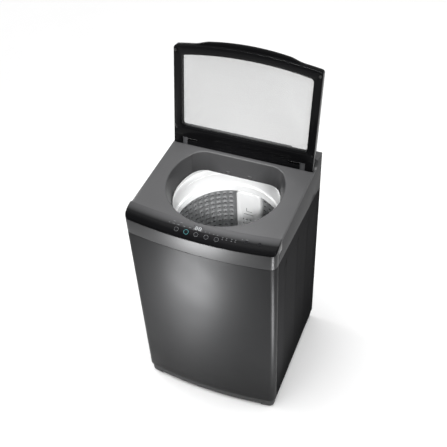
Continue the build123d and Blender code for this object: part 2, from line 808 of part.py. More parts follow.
key_spots = {
    "key_mode": (key_middle_x - 2 * key_pitch, key_row),
    "key_course": (key_middle_x - key_pitch, key_row),
    "key_level": (key_middle_x, key_row),
    "key_rinse": (key_middle_x + key_pitch, key_row),
    "key_delay": (key_middle_x + 2 * key_pitch, key_row),
    "key_start": (start_x, power_row),
    "key_power": (power_x, power_row),
}
key_face = fascia_plane(key_middle_x, key_row)
board_middle = board_height / 2 - board_forward
board_plane = Plane(
    origin=key_face.origin - key_face.z_dir * board_depth,
    x_dir=(1, 0, 0),
    z_dir=(0, key_face.z_dir.Y, sqrt(1 - key_face.z_dir.Y**2)),
)
first_key_x = key_middle_x - 2 * key_pitch
board_length = power_x - first_key_x + 2 * board_margin
board_x = (first_key_x + power_x) / 2 - board_plane.origin.X


def board_meet(place):
    """Distance from a point on the fascia to the board's upper face, and the point below it."""
    lift = (place.origin - board_plane.origin).dot(board_plane.z_dir)
    reach = lift / place.z_dir.dot(board_plane.z_dir)
    return reach, place.origin - place.z_dir * reach


key_places = {}
for key_name, (x, row) in key_spots.items():
    key_places[key_name] = fascia_plane(x, row)
lens_place = fascia_plane(display_x, display_row)
post_spots = [
    (-board_length / 2 + 2 * key_radius, 0),
    (board_length / 2 - 2 * key_radius, 0),
    (-board_length / 2 + 2 * key_radius, board_height - 2 * key_radius),
    (board_length / 2 - 6 * key_radius, board_height - 2 * key_radius),
]

with BuildPart() as fascia_posts:
    with BuildSketch(board_plane):
        for x, y in post_spots:
            with Locations((board_x + x, y)):
                Circle(key_stem)
    extrude(amount=2 * fascia_depth)
    add(fascia_body(fascia_wall / 2), mode=Mode.INTERSECT)

with BuildPart() as control_fascia:
    add(fascia_body(0))
    side_edges = control_fascia.edges().filter_by(lambda e: abs(abs(e.center().X) - half_width) < 1)
    side_edges = side_edges.filter_by(lambda e: e.center().Z > strip_top_z + 2 and e.length > fascia_wall * 4)
    fillet(side_edges.filter_by(lambda e: abs(e.tangent_at(0.5).Z) < 0.9), deck_edge_radius - fit)
    with BuildSketch(Plane.XY.offset(panel_bottom_z)):
        add(wall_face(0, strip_thickness + fit))
        with Locations((0, wrap_end_y + seam_gap)):
            Rectangle(far, far, align=(Align.CENTER, Align.MIN), mode=Mode.SUBTRACT)
    extrude(amount=strip_top_z + fit - panel_bottom_z, mode=Mode.SUBTRACT)
    add(fascia_body(fascia_wall), mode=Mode.SUBTRACT)
    add(fascia_posts.part)
    for place in key_places.values():
        with BuildSketch(place.offset(fascia_wall)):
            Circle(key_radius + 2 * running + fit / 3)
        extrude(amount=-4 * fascia_wall, mode=Mode.SUBTRACT)
    with BuildSketch(lens_place.offset(fascia_wall)):
        Rectangle(display_width + fit, display_height + fit)
    extrude(amount=-4 * fascia_wall, mode=Mode.SUBTRACT)

flange_drop = fascia_wall + (key_radius + key_flange) ** 2 / fascia_radius
keys = {}
for key_name, place in key_places.items():
    reach, below = board_meet(place)
    lean = key_stem * tan(radians(place.z_dir.get_angle(board_plane.z_dir)))
    stem_end = board_thickness + key_travel + fit + lean
    with BuildPart() as key:
        with BuildSketch(place.offset(-flange_drop - key_flange)):
            Circle(key_radius)
        extrude(amount=flange_drop + key_flange + key_crown)
        fillet(key.edges().sort_by(Axis.Z)[-1], key_crown)
        with BuildSketch(place.offset(-flange_drop - key_flange)):
            Circle(key_radius + key_flange)
        extrude(amount=key_flange)
        with BuildSketch(place.offset(-reach + stem_end)):
            Circle(key_stem)
        extrude(amount=reach - stem_end - flange_drop - key_crown)
    keys[key_name] = key

with BuildPart() as display_lens:
    with BuildSketch(lens_place.offset(fascia_wall)):
        Rectangle(display_width - fit, display_height - fit)
    extrude(amount=-3 * fascia_wall)
    add(fascia_body(0), mode=Mode.INTERSECT)
    flange_z = -fascia_wall - (display_height / 2 + lens_flange) ** 2 / (2 * fascia_radius) - fit
    with BuildSketch(lens_place.offset(flange_z - board_thickness)):
        Rectangle(display_width + 2 * lens_flange, display_height + 2 * lens_flange)
    extrude(amount=board_thickness)
    with BuildSketch(lens_place.offset(flange_z - board_thickness)):
        Rectangle(far, far)
    extrude(amount=-far, mode=Mode.SUBTRACT)

with BuildPart() as control_board:
    with BuildSketch(board_plane):
        with Locations((board_x, board_middle)):
            Rectangle(board_length, board_height)
    extrude(amount=-board_thickness)
    for place in key_places.values():
        reach, below = board_meet(place)
        spot = board_plane.to_local_coords(below)
        with BuildSketch(board_plane):
            with Locations((spot.X, spot.Y)):
                Circle(switch_radius)
        extrude(amount=board_thickness - 2 * running)
    lens_reach, lens_below = board_meet(lens_place)
    spot = board_plane.to_local_coords(lens_below)
    with BuildSketch(board_plane):
        with Locations((spot.X, spot.Y)):
            Rectangle(display_width - lens_flange, display_height - lens_flange)
    extrude(amount=lens_reach - fascia_wall - 3 * board_thickness)

# ---------------------------------------------------------------- lid, drawn on a plane in its inner face
tilt_sin = sin(radians(lid_tilt))
tilt_cos = cos(radians(lid_tilt))
inward = (0, -tilt_cos, tilt_sin)
lid_origin = (0, hinge_y - lid_hinge_depth * tilt_cos, hinge_z + lid_hinge_depth * tilt_sin)
lid_plane = Plane(origin=lid_origin, x_dir=(1, 0, 0), z_dir=inward)
lid_side = Plane(origin=(0, hinge_y, hinge_z), x_dir=(0, tilt_sin, tilt_cos), z_dir=(1, 0, 0))
lid_half = lid_width / 2
lid_middle_reach = lid_corner_reach + lid_front_sagitta
slot_inner = ear_inner - trough_gap
slot_outer = ear_inner + ear_width + trough_gap
hinge_band = lid_hinge_depth + 2      # the solid part of the lid about its pins ends here


def lid_outline(inset, rear):
    """The lid seen square on: straight sides and a bowed front, moved in by inset."""
    half = lid_half - inset
    with BuildSketch(mode=Mode.PRIVATE) as outline:
        with BuildLine():
            front = ThreePointArc(
                (-half, lid_corner_reach - inset), (0, lid_middle_reach - inset), (half, lid_corner_reach - inset)
            )
            Polyline(front @ 1, (half, rear), (-half, rear), front @ 0)
        make_face()
        fillet(outline.vertices().group_by(Axis.Y)[-1], max(lid_corner_radius - inset, 1))
    return outline.sketch


def handle_outline():
    """The lid's front with the middle drawn forward as a handle."""
    arc_radius = (lid_half**2 + lid_front_sagitta**2) / (2 * lid_front_sagitta)
    drop = arc_radius - sqrt(arc_radius**2 - handle_half_width**2)
    foot_y = lid_middle_reach - drop
    foot_slope = (1, -tan(asin(handle_half_width / arc_radius)))
    with BuildSketch(mode=Mode.PRIVATE) as outline:
        with BuildLine():
            crest = ThreePointArc(
                (-handle_flat_half, lid_middle_reach + handle_reach - handle_crown),
                (0, lid_middle_reach + handle_reach),
                (handle_flat_half, lid_middle_reach + handle_reach - handle_crown),
            )
            Spline(crest @ 1, (handle_half_width, foot_y), tangents=(crest % 1, foot_slope))
            Polyline(
                (handle_half_width, foot_y),
                (handle_half_width, lid_corner_reach / 2),
                (-handle_half_width, lid_corner_reach / 2),
                (-handle_half_width, foot_y),
            )
            Spline((-handle_half_width, foot_y), crest @ 0, tangents=((1, -foot_slope[1]), crest % 0))
        make_face()
    return outline.sketch


def window_outline(grow):
    """The lid's window, grown outward by grow."""
    half = window_half_width + grow
    top = lid_corner_reach - window_front_band + grow
    with BuildSketch(mode=Mode.PRIVATE) as outline:
        with BuildLine():
            front = ThreePointArc((-half, top), (0, top + lid_front_sagitta), (half, top))
            Polyline(front @ 1, (half, window_rear - grow), (-half, window_rear - grow), front @ 0)
        make_face()
        fillet(outline.vertices(), window_corner + grow)
    return outline.sketch


def lid_section():
    """The lid from the side: flat inner face, slightly tapering outer face, round rear end."""
    outer_z = lid_hinge_depth - lid_thickness
    front_z = lid_hinge_depth - lid_front_thickness
    with BuildSketch(mode=Mode.PRIVATE) as section:
        Circle(lid_heel)
        Rectangle(far, far, align=(Align.MIN, Align.CENTER), mode=Mode.SUBTRACT)
        with BuildLine():
            Polyline(
                (0, outer_z),
                (lid_corner_reach, front_z),
                (2 * lid_corner_reach, 2 * front_z - outer_z),
                (2 * lid_corner_reach, lid_hinge_depth),
                (0, lid_hinge_depth),
                close=True,
            )
        make_face()
        with Locations((0, lid_hinge_depth)):
            Rectangle(far, far, align=(Align.CENTER, Align.MIN), mode=Mode.SUBTRACT)
        with Locations((-lid_heel, outer_z)):
            Rectangle(lid_heel, far, align=(Align.MIN, Align.MAX), mode=Mode.SUBTRACT)
    return section.sketch


corner_post_x = lid_half - lid_wall - lid_post_radius - fit
bumper_spots = [(side * corner_post_x, lid_corner_reach - lid_corner_radius - lid_post_radius) for side in (-1, 1)]
lid_screw_spots = [(side * corner_post_x, window_rear - lid_post_radius - screw_head) for side in (-1, 1)]
seat_z = lid_thickness - glass_seat            # depth of the glass seat under the inner face
cover_plate_z = inner_frame_thickness

with BuildPart() as lid_frame:
    with BuildSketch(lid_plane):
        add(lid_outline(0, -lid_heel))
    extrude(amount=-2 * lid_thickness)
    with BuildSketch(lid_plane.offset(-handle_lift)):
        add(handle_outline())
    extrude(amount=-2 * lid_thickness)
    with BuildSketch(lid_side):
        add(lid_section())
    extrude(amount=far, both=True, mode=Mode.INTERSECT)
    with BuildSketch(lid_plane):
        add(window_outline(0))
    extrude(amount=-2 * lid_thickness, mode=Mode.SUBTRACT)
    with BuildSketch(lid_plane.offset(-seat_z)):
        add(lid_outline(lid_wall, hinge_band))
    extrude(amount=2 * seat_z, mode=Mode.SUBTRACT)
    with BuildSketch(lid_plane.offset(-seat_z)):
        with Locations(*bumper_spots, *lid_screw_spots):
            Circle(lid_post_radius)
    extrude(amount=seat_z - cover_plate_z)
    with BuildSketch(lid_plane.offset(-cover_plate_z)):
        with Locations(*bumper_spots, *lid_screw_spots):
            Circle(screw_shank + running)
    extrude(amount=-screw_length, mode=Mode.SUBTRACT)
    for side in (-1, 1):
        with BuildSketch(Plane.YZ.offset(side * (hinge_pin_inner + hinge_pin_outer) / 2)):
            with Locations((hinge_y, hinge_z)):
                Circle(hinge_pin_radius + running)
        extrude(amount=(hinge_pin_outer - hinge_pin_inner) / 2 + running, both=True, mode=Mode.SUBTRACT)
        with BuildSketch(lid_plane.offset(-lid_thickness + slot_skin)):
            with Locations((side * (slot_inner + slot_outer) / 2, 0)):
                Rectangle(slot_outer - slot_inner, 2 * slot_reach)
            with Locations((side * (slot_inner + slot_outer) / 2, 0)):
                Rectangle(slot_outer - slot_inner, 2 * lid_heel, align=(Align.CENTER, Align.MAX))
        extrude(amount=lid_thickness, mode=Mode.SUBTRACT)
        with BuildSketch(lid_plane.offset(-lid_hinge_depth - groove_half)):
            with Locations((side * (groove_inner + slot_inner + 1) / 2, 0)):
                Rectangle(slot_inner + 1 - groove_inner, 2 * groove_half)
        extrude(amount=lid_thickness, mode=Mode.SUBTRACT)

with BuildPart() as lid_inner_frame:
    with BuildSketch(lid_plane.offset(-cover_plate_z)):
        add(lid_outline(lid_wall + fit, hinge_band + fit))
        add(window_outline(0), mode=Mode.SUBTRACT)
    extrude(amount=cover_plate_z)
    with BuildSketch(lid_plane.offset(-seat_z + glass_thickness)):
        add(window_outline(lid_wall))
        add(window_outline(0), mode=Mode.SUBTRACT)
    extrude(amount=seat_z - glass_thickness)
    with BuildSketch(lid_plane.offset(-far / 4)):
        with Locations(*bumper_spots, *lid_screw_spots):
            Circle(screw_shank + running)
    extrude(amount=far / 2, mode=Mode.SUBTRACT)
    with BuildSketch(lid_plane.offset(-screw_head)):
        with Locations(*bumper_spots, *lid_screw_spots):
            Circle(screw_radius + running)
    extrude(amount=lid_thickness, mode=Mode.SUBTRACT)

with BuildPart() as lid_glass:
    with BuildSketch(lid_plane.offset(-seat_z)):
        add(window_outline(glass_seat - fit))
    extrude(amount=glass_thickness)

with BuildPart() as lid_screws:
    with BuildSketch(lid_plane.offset(-screw_head)):
        with Locations(*bumper_spots, *lid_screw_spots):
            Circle(screw_radius)
    extrude(amount=screw_head)
    with BuildSketch(lid_plane.offset(-screw_head)):
        with Locations(*bumper_spots, *lid_screw_spots):
            Circle(screw_shank)
    extrude(amount=-screw_length)
    with BuildSketch(lid_plane):
        with Locations(*lid_screw_spots):
            Rectangle(screw_radius * 1.3, screw_shank / 2)
            Rectangle(screw_shank / 2, screw_radius * 1.3)
    extrude(amount=-screw_head / 2, mode=Mode.SUBTRACT)

with BuildPart() as lid_bumpers:
    with BuildSketch(lid_plane):
        with Locations(*bumper_spots):
            Circle(screw_radius + 1)
    extrude(amount=hinge_z - lid_hinge_depth - deck_z - fit)
    fillet(lid_bumpers.edges().group_by(Axis((0, 0, 0), inward))[-1], screw_radius / 2)

with BuildPart() as hinge_pins:
    for side in (-1, 1):
        with BuildSketch(Plane.YZ.offset(side * (hinge_pin_inner + hinge_pin_outer) / 2)):
            with Locations((hinge_y, hinge_z)):
                Circle(hinge_pin_radius)
        extrude(amount=(hinge_pin_outer - hinge_pin_inner) / 2, both=True)

# ---------------------------------------------------------------- tub and basket
drum = (0, drum_y)
drum_axis = Axis((0, drum_y, 0), (0, 0, 1))
rod_points = [(side * rod_x, y) for side in (-1, 1) for y in (rod_front_y, rod_rear_y)]


def turned(*points):
    """A solid turned about the drum's axis from a section of radius and height pairs."""
    with BuildPart() as solid:
        with BuildSketch(Plane.XZ.offset(-drum_y)):
            with BuildLine():
                Polyline(*points, close=True)
            make_face()
        revolve(axis=drum_axis)
    return solid.part


with BuildPart() as outer_tub:
    add(
        turned(
            (bearing_radius + fit, tub_bottom_z),
            (tub_radius, tub_bottom_z),
            (tub_radius, tub_top_z),
            (tub_radius - tub_wall, tub_top_z),
            (tub_radius - tub_wall, tub_bottom_z + tub_floor),
            (bearing_radius + fit, tub_bottom_z + tub_floor),
        )
    )
    add(
        turned(
            (bearing_lip, plate_top_z),
            (hub_radius, plate_top_z),
            (hub_radius, boss_top_z),
            (bearing_radius + fit, boss_top_z),
            (bearing_radius + fit, bearing_z),
            (bearing_lip, bearing_z),
        )
    )
    with BuildSketch(Plane.XY.offset(lug_z)):
        for x, y in rod_points:
            with Locations((x, y)):
                Circle(lug_radius)
            turn = degrees(atan2(y - drum_y, x))
            span = hypot(x, y - drum_y)
            with Locations(Location((0, drum_y, 0), (0, 0, turn))):
                with Locations((tub_radius - tub_wall / 2, 0)):
                    Rectangle(span - tub_radius + tub_wall / 2, 2 * lug_radius, align=(Align.MIN, Align.CENTER))
        with Locations(drum):
            Circle(tub_radius - tub_wall / 2, mode=Mode.SUBTRACT)
        with Locations(*rod_points):
            Circle(rod_radius + 2, mode=Mode.SUBTRACT)
    extrude(amount=lug_height)
    with BuildSketch(Plane.XY.offset(plate_top_z)):
        with Locations(*tub_posts):
            Circle(post_radius)
    extrude(amount=tub_bottom_z - plate_top_z + tub_floor / 2)
    with BuildSketch(Plane.XY.offset(tub_bottom_z - sump_spigot)):
        with Locations((pump_x, pump_y)):
            Circle(pump_inlet_radius)
    extrude(amount=sump_spigot + tub_floor / 2)
    with BuildSketch(Plane.XY.offset(tub_bottom_z - 2 * sump_spigot)):
        with Locations((pump_x, pump_y)):
            Circle(pump_inlet_radius - tub_wall)
    extrude(amount=3 * sump_spigot, mode=Mode.SUBTRACT)

with BuildPart() as tub_cover_ring:
    skirt = tub_radius + fit + tub_wall
    add(
        turned(
            (ring_mouth, ring_gap_z),
            (ring_mouth, ring_top_z),
            (skirt - ring_slope, ring_top_z),
            (skirt, tub_top_z + ring_wall * 4),
            (skirt, tub_top_z - cover_lap),
            (tub_radius + fit, tub_top_z - cover_lap),
            (tub_radius + fit, tub_top_z),
            (tub_radius - tub_wall - 1, tub_top_z),
            (tub_radius - tub_wall - 1, tub_top_z + ring_wall * 2),
            (skirt - ring_slope - ring_wall, ring_top_z - ring_wall),
            (ring_mouth + ring_wall, ring_top_z - ring_wall),
            (ring_mouth + ring_wall, ring_gap_z),
        )
    )
    mouth_rim = tub_cover_ring.edges().filter_by_position(Axis.Z, ring_top_z - fit, ring_top_z + fit)
    fillet(mouth_rim.sort_by(lambda e: e.length)[0], ring_wall * 0.8)

basket_top_z = balance_bottom_z + basket_lap
hole_pitch = (hole_high_z - hole_low_z) / (hole_rows - 1)

with BuildPart() as spin_basket:
    basket_foot_z = basket_floor_z - basket_base_height
    add(
        turned(
            (basket_radius - 2 * ring_wall, basket_foot_z),
            (basket_radius, basket_foot_z),
            (basket_radius, basket_top_z),
            (basket_radius - basket_wall, basket_top_z),
            (basket_radius - basket_wall, basket_foot_z + basket_wall),
            (basket_radius - 2 * ring_wall, basket_foot_z + basket_wall),
        )
    )
    with BuildPart(mode=Mode.PRIVATE) as drill:
        for column in range(hole_columns // 2):
            turn = radians(360 / hole_columns * (column + 0.5))
            middle = (0, drum_y, hole_low_z)
            around = Plane(origin=middle, x_dir=(cos(turn), sin(turn), 0), z_dir=(sin(turn), -cos(turn), 0))
            with BuildSketch(around):
                for row in range(hole_rows):
                    with Locations((0, row * hole_pitch)):
                        Circle(hole_radius)
            extrude(amount=2 * basket_radius, both=True)
    add(drill.part, mode=Mode.SUBTRACT)

with BuildPart() as basket_base:
    base_edge = basket_radius - basket_wall - fit
    base_foot_z = basket_floor_z - basket_base_height + basket_wall
    add(
        turned(
            (spin_tube_radius + fit, basket_floor_z - base_plate),
            (base_edge - base_plate, basket_floor_z - base_plate),
            (base_edge - base_plate, base_foot_z),
            (base_edge, base_foot_z),
            (base_edge, basket_floor_z),
            (spin_tube_radius + fit, basket_floor_z),
        )
    )
    for ring_radius in (pulsator_radius * 0.45, pulsator_radius * 0.8, pulsator_radius * 1.2):
        with BuildSketch(Plane.XY.offset(basket_floor_z)):
            with Locations(drum):
                with PolarLocations(ring_radius, hole_columns // 2):
                    Circle(2 * hole_radius)
        extrude(amount=-2 * base_plate, mode=Mode.SUBTRACT)

with BuildPart() as balance_ring:
    add(
        turned(
            (balance_mouth, balance_bottom_z),
            (balance_mouth, balance_step_z - ring_wall * 2),
            (balance_belly, balance_step_z),
            (balance_mouth + ring_wall, balance_top_z - ring_wall * 4),
            (balance_mouth, balance_top_z),
            (balance_outer, balance_top_z),
            (balance_outer, basket_top_z + ring_wall * 2),
            (basket_radius + fit + ring_wall, basket_top_z),
            (basket_radius + fit + ring_wall, balance_bottom_z),
            (basket_radius + fit, balance_bottom_z),
            (basket_radius + fit, basket_top_z),
            (basket_radius - basket_wall - fit, basket_top_z),
            (basket_radius - basket_wall - fit, balance_bottom_z),
        )
    )
    ring_rims = balance_ring.edges().filter_by_position(Axis.Z, balance_top_z - fit, balance_top_z + fit)
    fillet(ring_rims, ring_wall * 1.5)
    belly_rims = balance_ring.edges().filter_by_position(Axis.Z, balance_step_z - fit, balance_step_z + fit)
    fillet(belly_rims, ring_wall * 1.5)

# the pulsator: a domed plate with radial vanes, hollow underneath
pulsator_z = basket_floor_z + pulsator_lift
dome_z = pulsator_z + pulsator_dome


def dome(inset):
    """The pulsator's domed body, moved in by inset."""
    edge = pulsator_radius - inset
    top = dome_z - inset
    rim_z = pulsator_z + pulsator_rim - inset
    with BuildPart() as body:
        with BuildSketch(Plane.XZ.offset(-drum_y)):
            with BuildLine():
                Polyline((0, top), (0, pulsator_z), (edge, pulsator_z), (edge, rim_z - pulsator_rim / 2))
                Spline(
                    (edge, rim_z - pulsator_rim / 2),
                    (edge - pulsator_rim / 2, rim_z),
                    (edge * 0.6, rim_z + (top - rim_z) * 0.35),
                    (cap_seat + inset, top),
                    tangents=((0, 1), (-1, 0)),
                )
                Line((cap_seat + inset, top), (0, top))
            make_face()
        revolve(axis=drum_axis)
    return body.part


with BuildPart() as pulsator:
    add(dome(0))
    with BuildPart(mode=Mode.PRIVATE) as vanes:
        with BuildSketch(Plane.XZ.offset(-drum_y)) as ridge:
            with BuildLine():
                Polyline(
                    (cap_seat + 2, dome_z - pulsator_rim),
                    (cap_seat + 2, dome_z - 2),
                    (pulsator_radius * 0.42, dome_z + vane_lift),
                    (pulsator_radius * 0.86, pulsator_z + pulsator_rim + vane_lift),
                    (pulsator_radius * 0.95, pulsator_z + pulsator_rim / 2),
                    close=True,
                )
            make_face()
            fillet(ridge.vertices().group_by(Axis.Y)[-1], pulsator_rim)
        extrude(amount=vane_half, both=True)
        flanks = vanes.edges().filter_by(lambda e: abs(abs(e.center().Y - drum_y) - vane_half) < fit)
        fillet(flanks.filter_by(lambda e: e.center().Z > dome_z - pulsator_rim and e.center().X > cap_seat * 1.2), vane_half / 2)
    for vane in range(vane_count):
        add(vanes.part.rotate(drum_axis, 360 / vane_count * vane))
    add(dome(pulsator_wall), mode=Mode.SUBTRACT)
    with BuildSketch(Plane.XY.offset(pulsator_z)):
        with Locations(drum):
            Circle(spin_tube_radius)
    extrude(amount=pulsator_dome - pulsator_wall / 2)
    with BuildSketch(Plane.XY.offset(pulsator_z)):
        with Locations(drum):
            Circle(shaft_radius + running)
    extrude(amount=pulsator_dome - 2 * pulsator_wall, mode=Mode.SUBTRACT)

with BuildPart() as pulsator_cap:
    with BuildSketch(Plane.XY.offset(dome_z)):
        with Locations(drum):
            Circle(cap_seat - 1)
    extrude(amount=pulsator_wall)
    fillet(pulsator_cap.edges().group_by(Axis.Z)[-1], pulsator_wall * 0.6)
    with BuildSketch(Plane.XY.offset(dome_z + pulsator_wall)):
        with Locations(drum):
            Circle(screw_radius * 2)
    extrude(amount=-pulsator_wall / 2, mode=Mode.SUBTRACT)
    with BuildSketch(Plane.XY.offset(dome_z + pulsator_wall / 2)):
        with Locations(drum):
            Circle(screw_radius * 1.8)
    extrude(amount=pulsator_wall / 2)
    with BuildSketch(Plane.XY.offset(dome_z + pulsator_wall)):
        with Locations(drum):
            Rectangle(screw_radius * 2.6, screw_shank)
            Rectangle(screw_shank, screw_radius * 2.6)
    extrude(amount=-pulsator_wall / 4, mode=Mode.SUBTRACT)

# the lint filter: a hollow cartridge against the basket's wall, open at its back
basket_inner = basket_radius - basket_wall
filter_back = sqrt(basket_inner**2 - (filter_width / 2) ** 2) - fit
filter_turn = 90 - filter_angle
filter_bottom_z = filter_top_z - filter_height
filter_plane = Plane(
    origin=(filter_back * cos(radians(filter_turn)), drum_y + filter_back * sin(radians(filter_turn)), filter_bottom_z),
    x_dir=(-sin(radians(filter_turn)), cos(radians(filter_turn)), 0),
    z_dir=(-cos(radians(filter_turn)), -sin(radians(filter_turn)), 0),
)


def filter_outline(inset):
    with BuildSketch(mode=Mode.PRIVATE) as outline:
        with Locations((0, -inset)):
            Rectangle(filter_width - 2 * inset, filter_height - 2 * inset, align=(Align.CENTER, Align.MAX))
        fillet(outline.vertices().group_by(Axis.Y)[0], filter_corner - inset)
        fillet(outline.vertices().group_by(Axis.Y)[-1], filter_corner / 3)
    return outline.sketch


with BuildPart() as lint_filter:
    with BuildSketch(filter_plane):
        add(filter_outline(0))
    extrude(amount=filter_depth)
    face_plane = filter_plane.offset(filter_depth)
    front_edges = lint_filter.faces().sort_by(Axis(filter_plane.origin, filter_plane.z_dir))[-1].edges()
    fillet(front_edges, filter_corner / 3)
    with BuildSketch(filter_plane):
        add(filter_outline(filter_wall))
    extrude(amount=filter_depth - filter_wall, mode=Mode.SUBTRACT)
    for slot_row in filter_slot_rows:
        for column in range(filter_slots):
            with BuildSketch(face_plane.offset(filter_wall)):
                with Locations(((column - (filter_slots - 1) / 2) * filter_slot_pitch, filter_bottom_z - slot_row)):
                    SlotOverall(filter_slot_height, filter_slot_width, rotation=90)
            extrude(amount=-filter_depth / 2, mode=Mode.SUBTRACT)
    bar_half = filter_width / 2 - filter_corner
    bar_end = filter_plane.origin + filter_plane.z_dir * filter_bar - filter_plane.x_dir * bar_half
    with BuildSketch(Plane(origin=bar_end, z_dir=filter_plane.x_dir)):
        Circle(filter_bar)
    extrude(amount=2 * bar_half)

# ---------------------------------------------------------------- drive under the tub
motor_place = (motor_x, motor_y)
motor_top_z = plate_z - motor_feet
motor_bottom_z = motor_top_z - motor_height
pulley_low_z = pulley_z - pulley_width / 2
pulley_high_z = pulley_z + pulley_width / 2
groove_depth = belt_thickness + fit
shaft_top_z = pulsator_z + pulsator_dome - 2 * pulsator_wall - fit

with BuildPart() as mounting_plate:
    with BuildSketch(Plane.XY.offset(plate_z)):
        with Locations(drum):
            Circle(plate_radius)
        with Locations(motor_place):
            Circle(motor_radius + motor_feet)
        make_hull()
        with Locations(drum):
            Circle(bearing_lip, mode=Mode.SUBTRACT)
    extrude(amount=plate_thickness)

with BuildPart() as clutch_housing:
    add(
        turned(
            (bearing_lip, clutch_bottom_z),
            (clutch_radius, clutch_bottom_z),
            (clutch_radius, plate_z - clutch_wall),
            (clutch_radius + 3 * clutch_wall, plate_z - clutch_wall),
            (clutch_radius + 3 * clutch_wall, plate_z),
            (clutch_radius - clutch_wall, plate_z),
            (clutch_radius - clutch_wall, clutch_bottom_z + clutch_wall),
            (bearing_radius + fit + clutch_wall, clutch_bottom_z + clutch_wall),
            (bearing_radius + fit + clutch_wall, clutch_bottom_z + clutch_wall + bearing_height),
            (bearing_radius + fit, clutch_bottom_z + clutch_wall + bearing_height),
            (bearing_radius + fit, clutch_bottom_z + clutch_wall),
            (bearing_lip, clutch_bottom_z + clutch_wall),
        )
    )

with BuildPart() as tub_bearings:
    for low_z in (bearing_z, clutch_bottom_z + clutch_wall):
        with BuildSketch(Plane.XY.offset(low_z)):
            with Locations(drum):
                Circle(bearing_radius)
                Circle(spin_tube_radius + running, mode=Mode.SUBTRACT)
        extrude(amount=bearing_height)

with BuildPart() as tub_seal:
    with BuildSketch(Plane.XY.offset(bearing_z + bearing_height)):
        with Locations(drum):
            Circle(bearing_radius)
            Circle(spin_tube_radius + running, mode=Mode.SUBTRACT)
    extrude(amount=seal_height)

with BuildPart() as spin_tube:
    hub_top_z = basket_floor_z - base_plate
    add(
        turned(
            (shaft_radius + running, clutch_bottom_z + running),
            (spin_tube_radius, clutch_bottom_z + running),
            (spin_tube_radius, hub_top_z - 2 * base_plate),
            (hub_radius, hub_top_z - base_plate),
            (hub_radius, hub_top_z),
            (spin_tube_radius, hub_top_z),
            (spin_tube_radius, basket_floor_z),
            (shaft_radius + running, basket_floor_z),
        )
    )

with BuildPart() as drive_shaft:
    with BuildSketch(Plane.XY.offset(pulley_low_z - 2)):
        with Locations(drum):
            Circle(shaft_radius)
    extrude(amount=shaft_top_z - pulley_low_z + 2)


def grooved_pulley(radius, bore, middle):
    """Section of a pulley with a flat-bottomed groove, as radius and height pairs about middle."""
    half = pulley_width / 2
    groove = belt_width / 2 + fit
    return (
        (bore, middle - half),
        (radius, middle - half),
        (radius, middle - groove),
        (radius - groove_depth, middle - groove),
        (radius - groove_depth, middle + groove),
        (radius, middle + groove),
        (radius, middle + half),
        (bore, middle + half),
    )


with BuildPart() as drive_pulley:
    add(turned(*grooved_pulley(pulley_radius, shaft_radius + running, pulley_z)))
    for low_z in (pulley_low_z, pulley_high_z - pulley_width / 3):
        with BuildSketch(Plane.XY.offset(low_z)):
            with Locations(drum):
                Circle(pulley_radius - groove_depth - clutch_wall)
                Circle(2 * shaft_radius, mode=Mode.SUBTRACT)
        extrude(amount=pulley_width / 3, mode=Mode.SUBTRACT)
    with BuildSketch(Plane.XY.offset(pulley_low_z)):
        with Locations(drum):
            with PolarLocations((pulley_radius + shaft_radius) / 2, vane_count):
                Circle(shaft_radius)
    extrude(amount=pulley_width, mode=Mode.SUBTRACT)

with BuildPart() as drive_motor:
    with BuildSketch(Plane.XY.offset(motor_bottom_z)):
        with Locations(motor_place):
            Circle(motor_radius)
    extrude(amount=motor_height)
    fillet(drive_motor.edges().filter_by(GeomType.CIRCLE), motor_radius / 6)
    with BuildSketch(Plane.XY.offset(motor_bottom_z + motor_height / 4)):
        with Locations(motor_place):
            Circle(motor_radius + fit)
            Circle(motor_radius - motor_feet / 2, mode=Mode.SUBTRACT)
    extrude(amount=motor_height / 12, mode=Mode.SUBTRACT)
    with BuildSketch(Plane.XY.offset(motor_top_z - motor_radius / 6)):
        with Locations(motor_place):
            with PolarLocations(motor_radius * 0.7, 4, 45):
                Circle(motor_shaft_radius)
    extrude(amount=motor_feet + motor_radius / 6)
    with BuildSketch(Plane.XY.offset(motor_bottom_z)):
        with Locations(motor_place):
            Circle(motor_shaft_radius + running)
    extrude(amount=motor_height / 5, mode=Mode.SUBTRACT)

with BuildPart() as motor_pulley:
    with BuildPart(mode=Mode.PRIVATE) as small_wheel:
        add(turned(*grooved_pulley(motor_pulley_radius, 0, pulley_z)))
    add(small_wheel.part.moved(Location((motor_x, motor_y - drum_y, 0))))
    with BuildSketch(Plane.XY.offset(pulley_high_z)):
        with Locations(motor_place):
            Circle(motor_shaft_radius)
    extrude(amount=motor_bottom_z + motor_height / 6 - pulley_high_z)

with BuildPart() as drive_belt:
    with BuildSketch(Plane.XY.offset(pulley_z - belt_width / 2)):
        with Locations(drum):
            Circle(pulley_radius)
        with Locations(motor_place):
            Circle(motor_pulley_radius)
        make_hull()
        with BuildSketch(mode=Mode.SUBTRACT):
            with Locations(drum):
                Circle(pulley_radius - belt_thickness)
            with Locations(motor_place):
                Circle(motor_pulley_radius - belt_thickness)
            make_hull()
    extrude(amount=belt_width)

# ---------------------------------------------------------------- suspension
bracket_reach = half_width - sheet
cap_top_z = rod_bottom_z + cap_height
spring_room = lug_z - tub_wall - cap_top_z

with BuildPart() as suspension_brackets:
    for x, y in rod_points:
        side = 1 if x > 0 else -1
        with BuildSketch(Plane.XY.offset(rod_top_z - bracket_thickness)):
            with Locations((side * (bracket_reach + rod_x - bracket_size / 2) / 2, y)):
                Rectangle(bracket_reach - rod_x + bracket_size / 2, bracket_size)
            with Locations((x, y)):
                Circle(rod_radius + fit, mode=Mode.SUBTRACT)
        extrude(amount=bracket_thickness)
        with BuildSketch(Plane.XY.offset(rod_top_z - bracket_size / 2)):
            with Locations((side * (bracket_reach - bracket_thickness / 2), y)):
                Rectangle(bracket_thickness, bracket_size)
        extrude(amount=bracket_size / 2)

